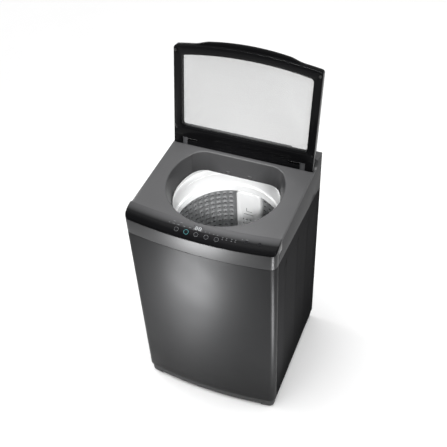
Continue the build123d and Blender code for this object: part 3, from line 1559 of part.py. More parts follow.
with BuildPart() as suspension_rods:
    with BuildSketch(Plane.XY.offset(rod_bottom_z - cap_height)):
        with Locations(*rod_points):
            RegularPolygon(2 * rod_radius, 6)
    extrude(amount=cap_height)
    with BuildSketch(Plane.XY.offset(rod_bottom_z)):
        with Locations(*rod_points):
            Circle(cap_radius)
    extrude(amount=cap_height)
    with BuildSketch(Plane.XY.offset(rod_bottom_z)):
        with Locations(*rod_points):
            Circle(rod_radius)
    extrude(amount=rod_top_z - rod_bottom_z)
    with BuildSketch(Plane.XY.offset(rod_top_z)):
        with Locations(*rod_points):
            Circle(ball_radius)
    extrude(amount=2 * bracket_thickness)
    fillet(suspension_rods.edges().group_by(Axis.Z)[-1], bracket_thickness)

with BuildPart() as suspension_cups:
    with BuildSketch(Plane.XY.offset(lug_z - cup_height)):
        with Locations(*rod_points):
            Circle(cup_radius)
    extrude(amount=cup_height)
    with BuildSketch(Plane.XY.offset(lug_z - cup_height)):
        with Locations(*rod_points):
            Circle(cup_radius - 1.5)
    extrude(amount=cup_height - tub_wall, mode=Mode.SUBTRACT)
    with BuildSketch(Plane.XY.offset(lug_z - cup_height)):
        with Locations(*rod_points):
            Circle(rod_radius + 1)
    extrude(amount=cup_height, mode=Mode.SUBTRACT)

with BuildPart() as suspension_springs:
    coil_height = spring_room - 2 * spring_wire
    coil = Helix(coil_height / spring_turns, coil_height, spring_radius)
    with BuildPart(mode=Mode.PRIVATE) as one_spring:
        with BuildSketch(Plane(coil @ 0, z_dir=coil % 0)):
            Circle(spring_wire)
        sweep(path=coil, is_frenet=True)
    for x, y in rod_points:
        add(one_spring.part.moved(Location((x, y, cap_top_z + spring_wire))))

# ---------------------------------------------------------------- water pieces
valve_face_y = rear_y - valve_notch_depth - cover_wall
valve_low_z = valve_z - valve_size / 2
spout_y = lip_rear_y + spout_standoff
spout_end_x = nozzle_x + nozzle_width
pump_place = (pump_x, pump_y)
pump_top_z = panel_bottom_z + pump_height

with BuildPart() as inlet_valve:
    with BuildSketch(Plane.XY.offset(valve_low_z)):
        with Locations((valve_x, valve_face_y)):
            Rectangle(valve_size, valve_depth, align=(Align.CENTER, Align.MAX))
    extrude(amount=valve_size)
    with BuildSketch(Plane.XZ.offset(-valve_face_y)):
        with Locations((valve_x, valve_z)):
            Circle(spigot_boss)
    extrude(amount=-(cover_wall + fit))
    with BuildSketch(Plane.XZ.offset(-valve_face_y)):
        with Locations((valve_x, valve_z)):
            Circle(spigot_radius)
    extrude(amount=-(rear_y - 2 - valve_face_y))
    fillet(inlet_valve.edges().group_by(Axis.Y)[-1], spigot_radius / 12)
    with BuildSketch(Plane.XZ.offset(-rear_y)):
        with Locations((valve_x, valve_z)):
            Circle(spigot_radius * 0.7)
    extrude(amount=rear_y - valve_face_y, mode=Mode.SUBTRACT)
    with BuildSketch(Plane.XY.offset(valve_low_z)):
        with Locations((valve_x, valve_face_y - valve_depth / 2)):
            Circle(valve_depth / 2)
    extrude(amount=-valve_size / 2)

with BuildPart() as water_spout:
    with BuildSketch(Plane.XZ.offset(-spout_y)):
        with Locations((0, nozzle_z)):
            Rectangle(2 * spout_end_x, nozzle_height * 2)
    extrude(amount=-spout_depth)
    with BuildSketch(Plane.XZ.offset(-spout_y)):
        with Locations((nozzle_x, nozzle_z), (-nozzle_x, nozzle_z)):
            Rectangle(nozzle_width, nozzle_height)
    extrude(amount=spout_standoff - 1)
    with BuildSketch(Plane.XZ.offset(-spout_y - filter_wall)):
        with Locations((0, nozzle_z)):
            Rectangle(2 * spout_end_x - 2 * filter_wall, nozzle_height * 2 - 2 * filter_wall)
    extrude(amount=-spout_depth + 2 * filter_wall, mode=Mode.SUBTRACT)
    with BuildSketch(Plane.XZ.offset(-spout_y - 2 * filter_wall)):
        with Locations((nozzle_x, nozzle_z), (-nozzle_x, nozzle_z)):
            Rectangle(nozzle_width - filter_wall, nozzle_height - filter_wall)
    extrude(amount=2 * spout_standoff, mode=Mode.SUBTRACT)
    with BuildSketch(Plane.YZ.offset(spout_end_x - 2 * filter_wall)):
        with Locations((spout_y + spout_depth / 2, nozzle_z)):
            Circle(inlet_tube_radius - filter_wall)
    extrude(amount=3 * filter_wall, mode=Mode.SUBTRACT)

with BuildPart() as inlet_tube:
    tube_y = valve_face_y - valve_depth / 2
    tube_z = valve_low_z + 2 * inlet_tube_radius
    with BuildLine() as tube_path:
        FilletPolyline(
            (valve_x - valve_size / 2, tube_y, tube_z),
            (2 * spout_end_x, tube_y, tube_z),
            (2 * spout_end_x, tube_y, nozzle_z),
            (2 * spout_end_x, spout_y + spout_depth / 2, nozzle_z),
            (spout_end_x, spout_y + spout_depth / 2, nozzle_z),
            radius=2 * inlet_tube_radius,
        )
    with BuildSketch(Plane(tube_path.line @ 0, z_dir=tube_path.line % 0)):
        Circle(inlet_tube_radius)
        Circle(inlet_tube_radius - filter_wall, mode=Mode.SUBTRACT)
    sweep()

with BuildPart() as drain_pump:
    with BuildSketch(Plane.XY.offset(panel_bottom_z)):
        with Locations(pump_place):
            Circle(pump_radius)
    extrude(amount=pump_height)
    fillet(drain_pump.edges().group_by(Axis.Z)[-1], pump_radius / 9)
    with BuildSketch(Plane.XY.offset(pump_top_z - 1)):
        with Locations(pump_place):
            Circle(pump_inlet_radius)
    extrude(amount=pump_inlet + 1)
    with BuildSketch(Plane.XZ.offset(-pump_y)):
        with Locations((pump_x, pump_spigot_z)):
            Circle(hose_spigot_radius)
    extrude(amount=-(rear_y - pump_spigot_end - pump_y))
    with BuildSketch(Plane.XY.offset(pump_spigot_z)):
        with Locations(pump_place):
            Circle(pump_inlet_radius - tub_wall)
    extrude(amount=pump_height + pump_inlet, mode=Mode.SUBTRACT)
    with BuildSketch(Plane.XZ.offset(-pump_y)):
        with Locations((pump_x, pump_spigot_z)):
            Circle(hose_spigot_radius - filter_wall)
    extrude(amount=-(rear_y - pump_y), mode=Mode.SUBTRACT)

with BuildPart() as sump_hose:
    hose_inner = pump_inlet_radius + fit
    with BuildSketch(Plane.XY.offset(hose_bottom_z)):
        with Locations(pump_place):
            Circle(hose_inner + sump_hose_wall)
    extrude(amount=tub_bottom_z - hose_bottom_z)
    for fold in range(hose_folds):
        with BuildSketch(Plane.XY.offset(hose_bottom_z + (fold + 2) * hose_fold_pitch)):
            with Locations(pump_place):
                Circle(hose_inner + 2 * sump_hose_wall)
        extrude(amount=hose_fold_pitch / 2)
    folds = sump_hose.edges().filter_by(GeomType.CIRCLE)
    fillet(folds.filter_by(lambda e: e.radius > hose_inner + 1.9 * sump_hose_wall), hose_fold_pitch / 5)
    with BuildSketch(Plane.XY.offset(hose_bottom_z)):
        with Locations(pump_place):
            Circle(hose_inner)
    extrude(amount=tub_bottom_z - hose_bottom_z, mode=Mode.SUBTRACT)

with BuildPart() as cabinet_screws:
    with BuildSketch(Plane.XZ.offset(-rear_sheet_y - sheet)):
        with Locations(*cover_screw_spots):
            Circle(screw_radius)
    extrude(amount=-screw_head)
    with BuildSketch(Plane.XZ.offset(-rear_sheet_y - sheet)):
        with Locations(*cover_screw_spots):
            Circle(screw_shank)
    extrude(amount=screw_length)
    with BuildSketch(Plane.XZ.offset(-rear_sheet_y - sheet - screw_head)):
        with Locations(*cover_screw_spots):
            Rectangle(screw_radius * 1.3, screw_shank / 2)
            Rectangle(screw_shank / 2, screw_radius * 1.3)
    extrude(amount=screw_head / 2, mode=Mode.SUBTRACT)

# ---------------------------------------------------------------- names and files
pieces = {
    "front_panel": front_panel,
    "side_panel_left": side_panel_left,
    "side_panel_right": side_panel_right,
    "rear_panel": rear_panel,
    "service_cover": service_cover,
    "cabinet_screws": cabinet_screws,
    "base_frame": base_frame,
    "top_cover": top_cover,
    "front_strip": front_strip,
    "control_fascia": control_fascia,
    "display_lens": display_lens,
    "control_board": control_board,
    "lid_frame": lid_frame,
    "lid_inner_frame": lid_inner_frame,
    "lid_glass": lid_glass,
    "lid_screws": lid_screws,
    "lid_bumpers": lid_bumpers,
    "hinge_pins": hinge_pins,
    "hinge_brackets": hinge_brackets,
    "inlet_valve": inlet_valve,
    "water_spout": water_spout,
    "inlet_tube": inlet_tube,
    "suspension_brackets": suspension_brackets,
    "suspension_rods": suspension_rods,
    "suspension_springs": suspension_springs,
    "suspension_cups": suspension_cups,
    "outer_tub": outer_tub,
    "tub_cover_ring": tub_cover_ring,
    "mounting_plate": mounting_plate,
    "clutch_housing": clutch_housing,
    "tub_bearings": tub_bearings,
    "tub_seal": tub_seal,
    "drive_motor": drive_motor,
    "motor_pulley": motor_pulley,
    "drive_belt": drive_belt,
    "drive_pulley": drive_pulley,
    "drive_shaft": drive_shaft,
    "spin_tube": spin_tube,
    "spin_basket": spin_basket,
    "basket_base": basket_base,
    "balance_ring": balance_ring,
    "pulsator": pulsator,
    "pulsator_cap": pulsator_cap,
    "lint_filter": lint_filter,
    "drain_pump": drain_pump,
    "sump_hose": sump_hose,
    "drain_grommet": drain_grommet,
    "cord_gland": cord_gland,
}
for corner, foot in feet.items():
    pieces["foot_" + corner] = foot
for key_name, key in keys.items():
    pieces[key_name] = key
for piece_name, piece in pieces.items():
    piece.part.label = piece_name
    export_step(piece.part, "parts/" + piece_name + ".step")
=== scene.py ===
import bpy
import bmesh
import json
import math
from mathutils import Matrix, Vector


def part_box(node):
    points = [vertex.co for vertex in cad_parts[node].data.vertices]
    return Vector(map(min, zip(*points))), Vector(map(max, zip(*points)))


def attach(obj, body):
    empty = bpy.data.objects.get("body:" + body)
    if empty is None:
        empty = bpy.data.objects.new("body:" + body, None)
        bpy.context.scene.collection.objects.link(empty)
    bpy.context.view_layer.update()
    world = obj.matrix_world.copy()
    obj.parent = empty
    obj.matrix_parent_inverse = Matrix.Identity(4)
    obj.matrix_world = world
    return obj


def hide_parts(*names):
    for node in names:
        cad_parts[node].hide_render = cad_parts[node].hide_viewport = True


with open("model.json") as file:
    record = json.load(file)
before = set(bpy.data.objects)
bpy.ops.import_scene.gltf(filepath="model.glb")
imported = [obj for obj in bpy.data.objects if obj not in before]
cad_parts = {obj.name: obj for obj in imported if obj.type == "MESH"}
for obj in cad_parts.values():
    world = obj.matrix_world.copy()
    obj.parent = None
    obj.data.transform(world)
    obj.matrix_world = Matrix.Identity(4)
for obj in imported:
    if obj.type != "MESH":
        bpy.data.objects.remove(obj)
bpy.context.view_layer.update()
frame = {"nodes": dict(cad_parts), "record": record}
record = frame["record"]
nodes = frame["nodes"]
print("frame loaded:", len(nodes), "CAD nodes")


# small helpers for node trees
def addNode(tree, kind, values=None, **settings):
    node = tree.nodes.new(kind)
    for name, value in settings.items():
        setattr(node, name, value)
    for socket, value in (values or {}).items():
        node.inputs[socket].default_value = value
    return node


def link(tree, start, end):
    tree.links.new(start, end)


def mathNode(tree, operation, first, second=None, third=None):
    node = addNode(tree, "ShaderNodeMath", operation=operation)
    for index, value in enumerate((first, second, third)):
        if value is None:
            continue
        if isinstance(value, (int, float)):
            node.inputs[index].default_value = value
        else:
            link(tree, value, node.inputs[index])
    return node.outputs[0]


def newGroup(name, inputs, outputs):
    group = bpy.data.node_groups.new(name, "ShaderNodeTree")
    for label, kind, value in inputs:
        socket = group.interface.new_socket(label, in_out="INPUT", socket_type=kind)
        if value is not None:
            socket.default_value = value
    for label, kind in outputs:
        group.interface.new_socket(label, in_out="OUTPUT", socket_type=kind)
    return group, group.nodes.new("NodeGroupInput"), group.nodes.new("NodeGroupOutput")


# moulded plastic's fine skin: a bump normal and a slow drift of tone
def makeGrainGroup():
    group, start, end = newGroup(
        "mouldedGrain",
        [("Grain size", "NodeSocketFloat", 900.0), ("Depth", "NodeSocketFloat", 0.02)],
        [("Normal", "NodeSocketVector"), ("Drift", "NodeSocketFloat"), ("Speck", "NodeSocketFloat")],
    )
    place = addNode(group, "ShaderNodeTexCoord")
    fine = addNode(group, "ShaderNodeTexNoise", {"Detail": 4.0, "Roughness": 0.6})
    slow = addNode(group, "ShaderNodeTexNoise", {"Scale": 3.0, "Detail": 2.0, "Roughness": 0.5})
    bump = addNode(group, "ShaderNodeBump", {"Strength": 1.0, "Distance": 0.001})
    link(group, place.outputs["Object"], fine.inputs["Vector"])
    link(group, place.outputs["Object"], slow.inputs["Vector"])
    link(group, start.outputs["Grain size"], fine.inputs["Scale"])
    link(group, mathNode(group, "MULTIPLY", fine.outputs[0], start.outputs["Depth"]), bump.inputs["Height"])
    link(group, bump.outputs["Normal"], end.inputs["Normal"])
    link(group, slow.outputs[0], end.inputs["Drift"])
    link(group, fine.outputs[0], end.inputs["Speck"])
    return group


# drawn lines of brushed or rolled metal: noise stretched along one direction
def makeBrushGroup():
    group, start, end = newGroup(
        "brushedLines",
        [("Stretch", "NodeSocketVector", (40.0, 40.0, 900.0)), ("Depth", "NodeSocketFloat", 0.01)],
        [("Normal", "NodeSocketVector"), ("Lines", "NodeSocketFloat"), ("Drift", "NodeSocketFloat")],
    )
    place = addNode(group, "ShaderNodeTexCoord")
    aim = addNode(group, "ShaderNodeMapping")
    lines = addNode(group, "ShaderNodeTexNoise", {"Scale": 1.0, "Detail": 3.0, "Roughness": 0.65})
    slow = addNode(group, "ShaderNodeTexNoise", {"Scale": 4.0, "Detail": 2.0})
    bump = addNode(group, "ShaderNodeBump", {"Strength": 1.0, "Distance": 0.001})
    link(group, place.outputs["Object"], aim.inputs["Vector"])
    link(group, start.outputs["Stretch"], aim.inputs["Scale"])
    link(group, aim.outputs[0], lines.inputs["Vector"])
    link(group, place.outputs["Object"], slow.inputs["Vector"])
    height = mathNode(group, "MULTIPLY", lines.outputs[0], start.outputs["Depth"])
    link(group, height, bump.inputs["Height"])
    link(group, bump.outputs["Normal"], end.inputs["Normal"])
    link(group, lines.outputs[0], end.inputs["Lines"])
    link(group, slow.outputs[0], end.inputs["Drift"])
    return group


# a dry film of dust and lint that gathers on upward faces
def makeDustGroup():
    group, start, end = newGroup(
        "settledDust",
        [("Amount", "NodeSocketFloat", 0.1)],
        [("Mask", "NodeSocketFloat")],
    )
    shape = addNode(group, "ShaderNodeNewGeometry")
    place = addNode(group, "ShaderNodeTexCoord")
    apart = addNode(group, "ShaderNodeSeparateXYZ")
    patch = addNode(group, "ShaderNodeTexNoise", {"Scale": 7.0, "Detail": 5.0, "Roughness": 0.7})
    link(group, shape.outputs["Normal"], apart.inputs[0])
    link(group, place.outputs["Object"], patch.inputs["Vector"])
    upward = mathNode(group, "MAXIMUM", apart.outputs["Z"], 0.15)
    spread = mathNode(group, "MULTIPLY", upward, patch.outputs[0])
    link(group, mathNode(group, "MULTIPLY", spread, start.outputs["Amount"]), end.inputs["Mask"])
    return group


grainGroup = makeGrainGroup()
brushGroup = makeBrushGroup()
dustGroup = makeDustGroup()


def useGroup(tree, group, values):
    node = addNode(tree, "ShaderNodeGroup", node_tree=group)
    for label, value in values.items():
        node.inputs[label].default_value = value
    return node


def mixColours(tree, mask, low, high):
    mix = addNode(tree, "ShaderNodeMix", data_type="RGBA")
    # sockets 6 and 7 are the mix's two colours, output 2 the colour that it makes
    for index, value in ((6, low), (7, high)):
        if isinstance(value, (tuple, list)):
            mix.inputs[index].default_value = (*value[:3], 1.0)
        else:
            link(tree, value, mix.inputs[index])
    if isinstance(mask, (int, float)):
        mix.inputs[0].default_value = mask
    else:
        link(tree, mask, mix.inputs[0])
    return mix.outputs[2]


def spread(tree, value, low, high, fromLow=0.3, fromHigh=0.7):
    limits = {"From Min": fromLow, "From Max": fromHigh, "To Min": low, "To Max": high}
    node = addNode(tree, "ShaderNodeMapRange", limits)
    link(tree, value, node.inputs["Value"])
    return node.outputs[0]


def newMaterial(name):
    material = bpy.data.materials.new(name)
    material.use_nodes = True
    tree = material.node_tree
    return material, tree, tree.nodes["Principled BSDF"]


toneDrift = 0.06
plasticDust = (0.45, 0.44, 0.42)
metalDust = (0.5, 0.49, 0.47)


# plastic: tone drifts a little, grain in the surface, dust on top
def makePlastic(
    name, tone, rough=0.4, grainDepth=0.02, grainSize=900.0, dust=0.06, coat=0.0, specular=0.5,
    upward=False,
):
    material, tree, shader = newMaterial(name)
    grain = useGroup(tree, grainGroup, {"Grain size": grainSize, "Depth": grainDepth})
    film = useGroup(tree, dustGroup, {"Amount": dust})
    low = tuple(channel * (1 - toneDrift) for channel in tone)
    high = tuple(min(channel * (1 + toneDrift), 1.0) for channel in tone)
    body = mixColours(tree, spread(tree, grain.outputs["Drift"], 0.0, 1.0), low, high)
    shader.inputs["Specular IOR Level"].default_value = specular
    shader.inputs["Coat Weight"].default_value = coat
    shader.inputs["Coat Roughness"].default_value = 0.1
    if upward:
        # painted shade: upright faces get a darker colour, half the tone, and less gloss than the ones that
        # face up, standing in for the shade on the sides
        face = addNode(tree, "ShaderNodeNewGeometry")
        apart = addNode(tree, "ShaderNodeSeparateXYZ")
        link(tree, face.outputs["Normal"], apart.inputs[0])
        facing = apart.outputs["Z"]
        link(tree, spread(tree, facing, 0.0, specular, 0.1, 0.7), shader.inputs["Specular IOR Level"])
        link(tree, spread(tree, facing, coat * 0.2, coat, 0.1, 0.6), shader.inputs["Coat Weight"])
        shade = tuple(channel * 0.5 for channel in tone)
        body = mixColours(tree, spread(tree, facing, 0.0, 1.0, 0.1, 0.8), shade, body)
    dusty = mixColours(tree, film.outputs["Mask"], body, plasticDust)
    link(tree, dusty, shader.inputs["Base Color"])
    link(tree, spread(tree, grain.outputs["Speck"], rough - 0.04, rough + 0.05), shader.inputs["Roughness"])
    link(tree, grain.outputs["Normal"], shader.inputs["Normal"])
    return material


# bare or painted sheet metal: drawn lines, slow drift of roughness
def makeMetal(
    name, tone, rough=0.3, metallic=1.0, stretch=(40.0, 40.0, 900.0), lineDepth=0.004, lineTone=0.08,
    dust=0.03, anisotropic=0.0, specular=0.5,
):
    material, tree, shader = newMaterial(name)
    brush = useGroup(tree, brushGroup, {"Stretch": stretch, "Depth": lineDepth})
    film = useGroup(tree, dustGroup, {"Amount": dust})
    low = tuple(channel * (1 - lineTone) for channel in tone)
    high = tuple(min(channel * (1 + lineTone), 1.0) for channel in tone)
    body = mixColours(tree, spread(tree, brush.outputs["Lines"], 0.0, 1.0), low, high)
    dusty = mixColours(tree, film.outputs["Mask"], body, metalDust)
    link(tree, dusty, shader.inputs["Base Color"])
    wave = mathNode(tree, "MULTIPLY_ADD", brush.outputs["Lines"], 0.5, brush.outputs["Drift"])
    link(tree, spread(tree, wave, rough - 0.05, rough + 0.07, 0.45, 1.05), shader.inputs["Roughness"])
    link(tree, brush.outputs["Normal"], shader.inputs["Normal"])
    shader.inputs["Metallic"].default_value = metallic
    shader.inputs["Anisotropic"].default_value = anisotropic
    shader.inputs["Anisotropic Rotation"].default_value = 0.25
    shader.inputs["Specular IOR Level"].default_value = specular
    return material


metalLooks = {
    "graphiteSheet": {
        "tone": (0.012, 0.0122, 0.0127), "rough": 0.46, "metallic": 0.5, "stretch": (900.0, 900.0, 6.0),
        "lineDepth": 0.003, "dust": 0.008, "lineTone": 0.05, "anisotropic": 0.6, "specular": 0.1,
    },
    "stripMetal": {
        "tone": (0.02, 0.0202, 0.0208), "rough": 0.42, "metallic": 0.5, "stretch": (6.0, 6.0, 900.0),
        "lineDepth": 0.003, "dust": 0.008, "lineTone": 0.05, "anisotropic": 0.6, "specular": 0.12,
    },
    "zincSheet": {
        "tone": (0.42, 0.43, 0.44), "rough": 0.42, "stretch": (60.0, 60.0, 60.0), "lineDepth": 0.01,
        "lineTone": 0.16, "dust": 0.12,
    },
    "drumSteel": {
        "tone": (0.46, 0.465, 0.47), "rough": 0.62, "stretch": (30.0, 30.0, 700.0), "lineDepth": 0.002,
        "lineTone": 0.07, "dust": 0.0,
    },
    # the hinge pins' finish: whitish and matte, a painted glint standing in for the bright highlight along
    # them
    "pinGlintSteel": {
        "tone": (0.8, 0.8, 0.8), "rough": 0.4, "metallic": 0.2, "stretch": (300.0, 300.0, 300.0),
        "lineDepth": 0.001, "dust": 0.0,
    },
    "brightSteel": {
        "tone": (0.72, 0.73, 0.74), "rough": 0.18, "stretch": (300.0, 300.0, 300.0), "lineDepth": 0.001,
        "dust": 0.01,
    },
    "blackScrew": {
        "tone": (0.02, 0.02, 0.021), "rough": 0.4, "metallic": 0.6, "stretch": (300.0, 300.0, 300.0),
        "lineDepth": 0.001, "dust": 0.01,
    },
    "greyBracket": {
        "tone": (0.22, 0.22, 0.23), "rough": 0.4, "metallic": 0.6, "stretch": (200.0, 200.0, 200.0),
        "lineDepth": 0.004, "dust": 0.02,
    },
    "castAlloy": {
        "tone": (0.5, 0.5, 0.51), "rough": 0.5, "stretch": (260.0, 260.0, 260.0), "lineDepth": 0.05,
        "lineTone": 0.12, "dust": 0.08,
    },
}
plasticLooks = {
    "blackSheet": {
        "tone": (0.016, 0.016, 0.0165), "rough": 0.5, "grainDepth": 0.012, "grainSize": 350.0,
        "dust": 0.006, "specular": 0.0,
    },
    "blackPlastic": {"tone": (0.016, 0.016, 0.017), "rough": 0.5, "grainDepth": 0.04},
    # the cover's upright faces are darkened with painted shade (upward)
    "coverPlastic": {
        "tone": (0.074, 0.074, 0.076), "rough": 0.4, "grainDepth": 0.012, "dust": 0.01, "coat": 0.5,
        "specular": 0.15, "upward": True,
    },
    "lidGloss": {
        "tone": (0.004, 0.004, 0.0045), "rough": 0.22, "grainDepth": 0.002, "dust": 0.003, "specular": 0.1,
    },
    "lidTrim": {
        "tone": (0.004, 0.004, 0.0045), "rough": 0.36, "grainDepth": 0.004, "dust": 0.002, "coat": 0.12,
        "specular": 0.03,
    },
    "keyGloss": {
        "tone": (0.006, 0.006, 0.007), "rough": 0.3, "grainDepth": 0.001, "dust": 0.0, "specular": 0.05,
    },
    "boardMask": {"tone": (0.01, 0.10, 0.05), "rough": 0.35, "grainDepth": 0.01},
    "whitePlastic": {
        "tone": (0.83, 0.835, 0.835), "rough": 0.4, "grainDepth": 0.004, "dust": 0.01, "coat": 0.1,
    },
    "tubPlastic": {"tone": (0.62, 0.63, 0.63), "rough": 0.5},
    "pulsatorPlastic": {"tone": (0.30, 0.31, 0.32), "rough": 0.35, "grainDepth": 0.01, "dust": 0.02},
    "darkRubber": {
        "tone": (0.014, 0.014, 0.014), "rough": 0.72, "grainDepth": 0.05, "grainSize": 500.0,
        "specular": 0.3,
    },
    "footPlastic": {"tone": (0.02, 0.02, 0.02), "rough": 0.6, "grainDepth": 0.05},
    # slotShadow: painted shade, a dark grey standing in for the dark inside of holes and grooves
    "slotShadow": {
        "tone": (0.07, 0.07, 0.072), "rough": 0.7, "grainDepth": 0.01, "dust": 0.0, "specular": 0.1,
    },
}
finishes = {name: makeMetal(name, **look) for name, look in metalLooks.items()}
finishes.update({name: makePlastic(name, **look) for name, look in plasticLooks.items()})


# the control panel: gloss black at its lower front, fading to grey at its rear edge; the grey is painted
# sheen, standing in for the light that the panel's crown catches as it curves up towards the deck
panelSheenFade = {
    "start": 0.84, "black": (0.004, 0.004, 0.0045, 1.0), "grey": (0.075, 0.075, 0.077, 1.0),
    "drift": (0.01, 0.01, 0.01),
}


def makePanelGloss(lowZ, highZ, look):
    material, tree, shader = newMaterial("panelGloss")
    grain = useGroup(tree, grainGroup, {"Grain size": 700.0, "Depth": 0.002})
    place = addNode(tree, "ShaderNodeTexCoord")
    apart = addNode(tree, "ShaderNodeSeparateXYZ")
    link(tree, place.outputs["Object"], apart.inputs[0])
    rise = spread(tree, apart.outputs["Z"], 0.0, 1.0, lowZ, highZ)
    # painted sheen: black up to the ramp's start, then grey towards the rear edge
    sheenRamp = addNode(tree, "ShaderNodeValToRGB")
    front, rear = sheenRamp.color_ramp.elements
    front.position = look["start"]
    front.color = look["black"]
    rear.color = look["grey"]
    link(tree, rise, sheenRamp.inputs[0])
    drift = spread(tree, grain.outputs["Drift"], 0.0, 0.1)
    link(tree, mixColours(tree, drift, sheenRamp.outputs[0], look["drift"]), shader.inputs["Base Color"])
    link(tree, spread(tree, rise, 0.14, 0.34, 0.3, 1.0), shader.inputs["Roughness"])
    link(tree, grain.outputs["Normal"], shader.inputs["Normal"])
    shader.inputs["Specular IOR Level"].default_value = 0.05
    return material


def makeClearGlass(name, tone, alpha, rough):
    material, tree, shader = newMaterial(name)
    grain = useGroup(tree, grainGroup, {"Grain size": 30.0, "Depth": 0.0005})
    low = tuple(channel * 0.98 for channel in tone)
    drift = spread(tree, grain.outputs["Drift"], 0.0, 1.0)
    link(tree, mixColours(tree, drift, low, tone), shader.inputs["Base Color"])
    link(tree, spread(tree, grain.outputs["Speck"], rough, rough + 0.02), shader.inputs["Roughness"])
    shader.inputs["Alpha"].default_value = alpha
    shader.inputs["Specular IOR Level"].default_value = 0.5
    return material


def makeGlow(name, tone, strength):
    material, tree, shader = newMaterial(name)
    grain = useGroup(tree, grainGroup, {"Grain size": 1200.0, "Depth": 0.0})
    deeper = tuple(channel * 0.6 for channel in tone)
    shade = mixColours(tree, spread(tree, grain.outputs["Speck"], 0.0, 0.25), tone, deeper)
    link(tree, shade, shader.inputs["Base Color"])
    link(tree, shade, shader.inputs["Emission Color"])
    shader.inputs["Emission Strength"].default_value = strength
    shader.inputs["Roughness"].default_value = 0.4
    return material


fasciaLow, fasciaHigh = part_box("control_fascia")
finishes["panelGloss"] = makePanelGloss(fasciaLow.z, fasciaHigh.z, panelSheenFade)
finishes["lidGlass"] = makeClearGlass("lidGlass", (0.34, 0.345, 0.345), 0.28, 0.03)
finishes["smokedLens"] = makeClearGlass("smokedLens", (0.006, 0.006, 0.008), 0.82, 0.05)
# the pale marks are print, and their faint emission is a painted glow; the teal and white marks are lit
# indicators and display digits
finishes["paleMark"] = makeGlow("paleMark", (0.13, 0.135, 0.14), 0.04)
finishes["tealMark"] = makeGlow("tealMark", (0.02, 0.15, 0.16), 0.3)
finishes["whiteMark"] = makeGlow("whiteMark", (0.3, 0.31, 0.32), 0.2)
print("materials made:", len(finishes))

# each material slot of the record and the finish that it gets
slotFinish = {
    "graphite_sheet": "graphiteSheet", "black_sheet": "blackSheet", "zinc_sheet": "zincSheet",
    "black_plastic": "blackPlastic", "cover_plastic": "coverPlastic", "strip_metal": "stripMetal",
    "panel_gloss": "panelGloss", "lid_gloss": "lidGloss", "lid_trim": "lidTrim", "lid_glass": "lidGlass",
    "lens": "smokedLens", "key_gloss": "keyGloss", "board": "boardMask", "white_plastic": "whitePlastic",
    "tub_plastic": "tubPlastic", "drum_steel": "drumSteel", "pulsator_plastic": "pulsatorPlastic",
    "bright_steel": "brightSteel", "grey_bracket": "greyBracket", "black_screw": "blackScrew",
    "rubber": "darkRubber", "cast_alloy": "castAlloy", "foot_plastic": "footPlastic",
}
for entry in record["subparts"]:
    cadNode = nodes[entry["node"]]
    cadNode.data.materials.clear()
    # the hinge pins take their own whitish finish, a painted glint
    finish = "pinGlintSteel" if entry["node"] == "hinge_pins" else slotFinish[entry["material_slot"]]
    cadNode.data.materials.append(finishes[finish])
print("CAD nodes finished")

# crisp CAD edges get a small round, so that they catch the light
edgeRounds = {
    "top_cover": 0.0012, "control_fascia": 0.0008, "front_strip": 0.0012, "front_panel": 0.0008,
    "lid_frame": 0.0016, "lid_inner_frame": 0.0012, "base_frame": 0.001, "hinge_brackets": 0.0006,
    "lint_filter": 0.0006, "tub_cover_ring": 0.0008, "water_spout": 0.0004, "lid_glass": 0.0005,
    "inlet_valve": 0.0006, "drain_pump": 0.0008, "pulsator_cap": 0.0004,
}
edgeLook = {"weld": 0.00001, "roundSteps": 2, "roundFrom": 38.0, "crispFrom": 33.0}
for cadNode in nodes.values():
    weld = cadNode.modifiers.new("weld", "WELD")
    weld.merge_threshold = edgeLook["weld"]
    if cadNode.name in edgeRounds:
        bevel = cadNode.modifiers.new("edgeRound", "BEVEL")
        bevel.width = edgeRounds[cadNode.name]
        bevel.segments = edgeLook["roundSteps"]
        bevel.limit_method = "ANGLE"
        bevel.angle_limit = math.radians(edgeLook["roundFrom"])
        bevel.use_clamp_overlap = True
    split = cadNode.modifiers.new("crispEdges", "EDGE_SPLIT")
    split.split_angle = math.radians(edgeLook["crispFrom"])
    for face in cadNode.data.polygons:
        face.use_smooth = True


def meshObject(name, mesh):
    item = bpy.data.objects.new(name, mesh)
    bpy.context.scene.collection.objects.link(item)
    return item


# runs a geometry tree on an object and keeps the result as a plain mesh at the origin
def bakeTree(name, tree, values, base=None):
    host = meshObject(name + "Host", base or bpy.data.meshes.new(name + "Base"))
    modifier = host.modifiers.new("build", "NODES")
    modifier.node_group = tree
    for socket in tree.interface.items_tree:
        if socket.item_type == "SOCKET" and socket.in_out == "INPUT" and socket.name in values:
            modifier[socket.identifier] = values[socket.name]
    bpy.context.view_layer.update()
    depsgraph = bpy.context.evaluated_depsgraph_get()
    mesh = bpy.data.meshes.new_from_object(host.evaluated_get(depsgraph))
    mesh.name = name
    if mesh.materials and mesh.materials[0] is None:
        mesh.materials.pop(index=0)
    bpy.data.objects.remove(host)
    return meshObject(name, mesh)


def newTree(name, inputs):
    tree = bpy.data.node_groups.new(name, "GeometryNodeTree")
    tree.interface.new_socket("Geometry", in_out="INPUT", socket_type="NodeSocketGeometry")
    for label, kind, value in inputs:
        socket = tree.interface.new_socket(label, in_out="INPUT", socket_type=kind)
        if value is not None:
            socket.default_value = value
    tree.interface.new_socket("Geometry", in_out="OUTPUT", socket_type="NodeSocketGeometry")
    return tree, tree.nodes.new("NodeGroupInput"), tree.nodes.new("NodeGroupOutput")


# the lint filter stands this many degrees round from the rear middle
filterAngle = 2.3

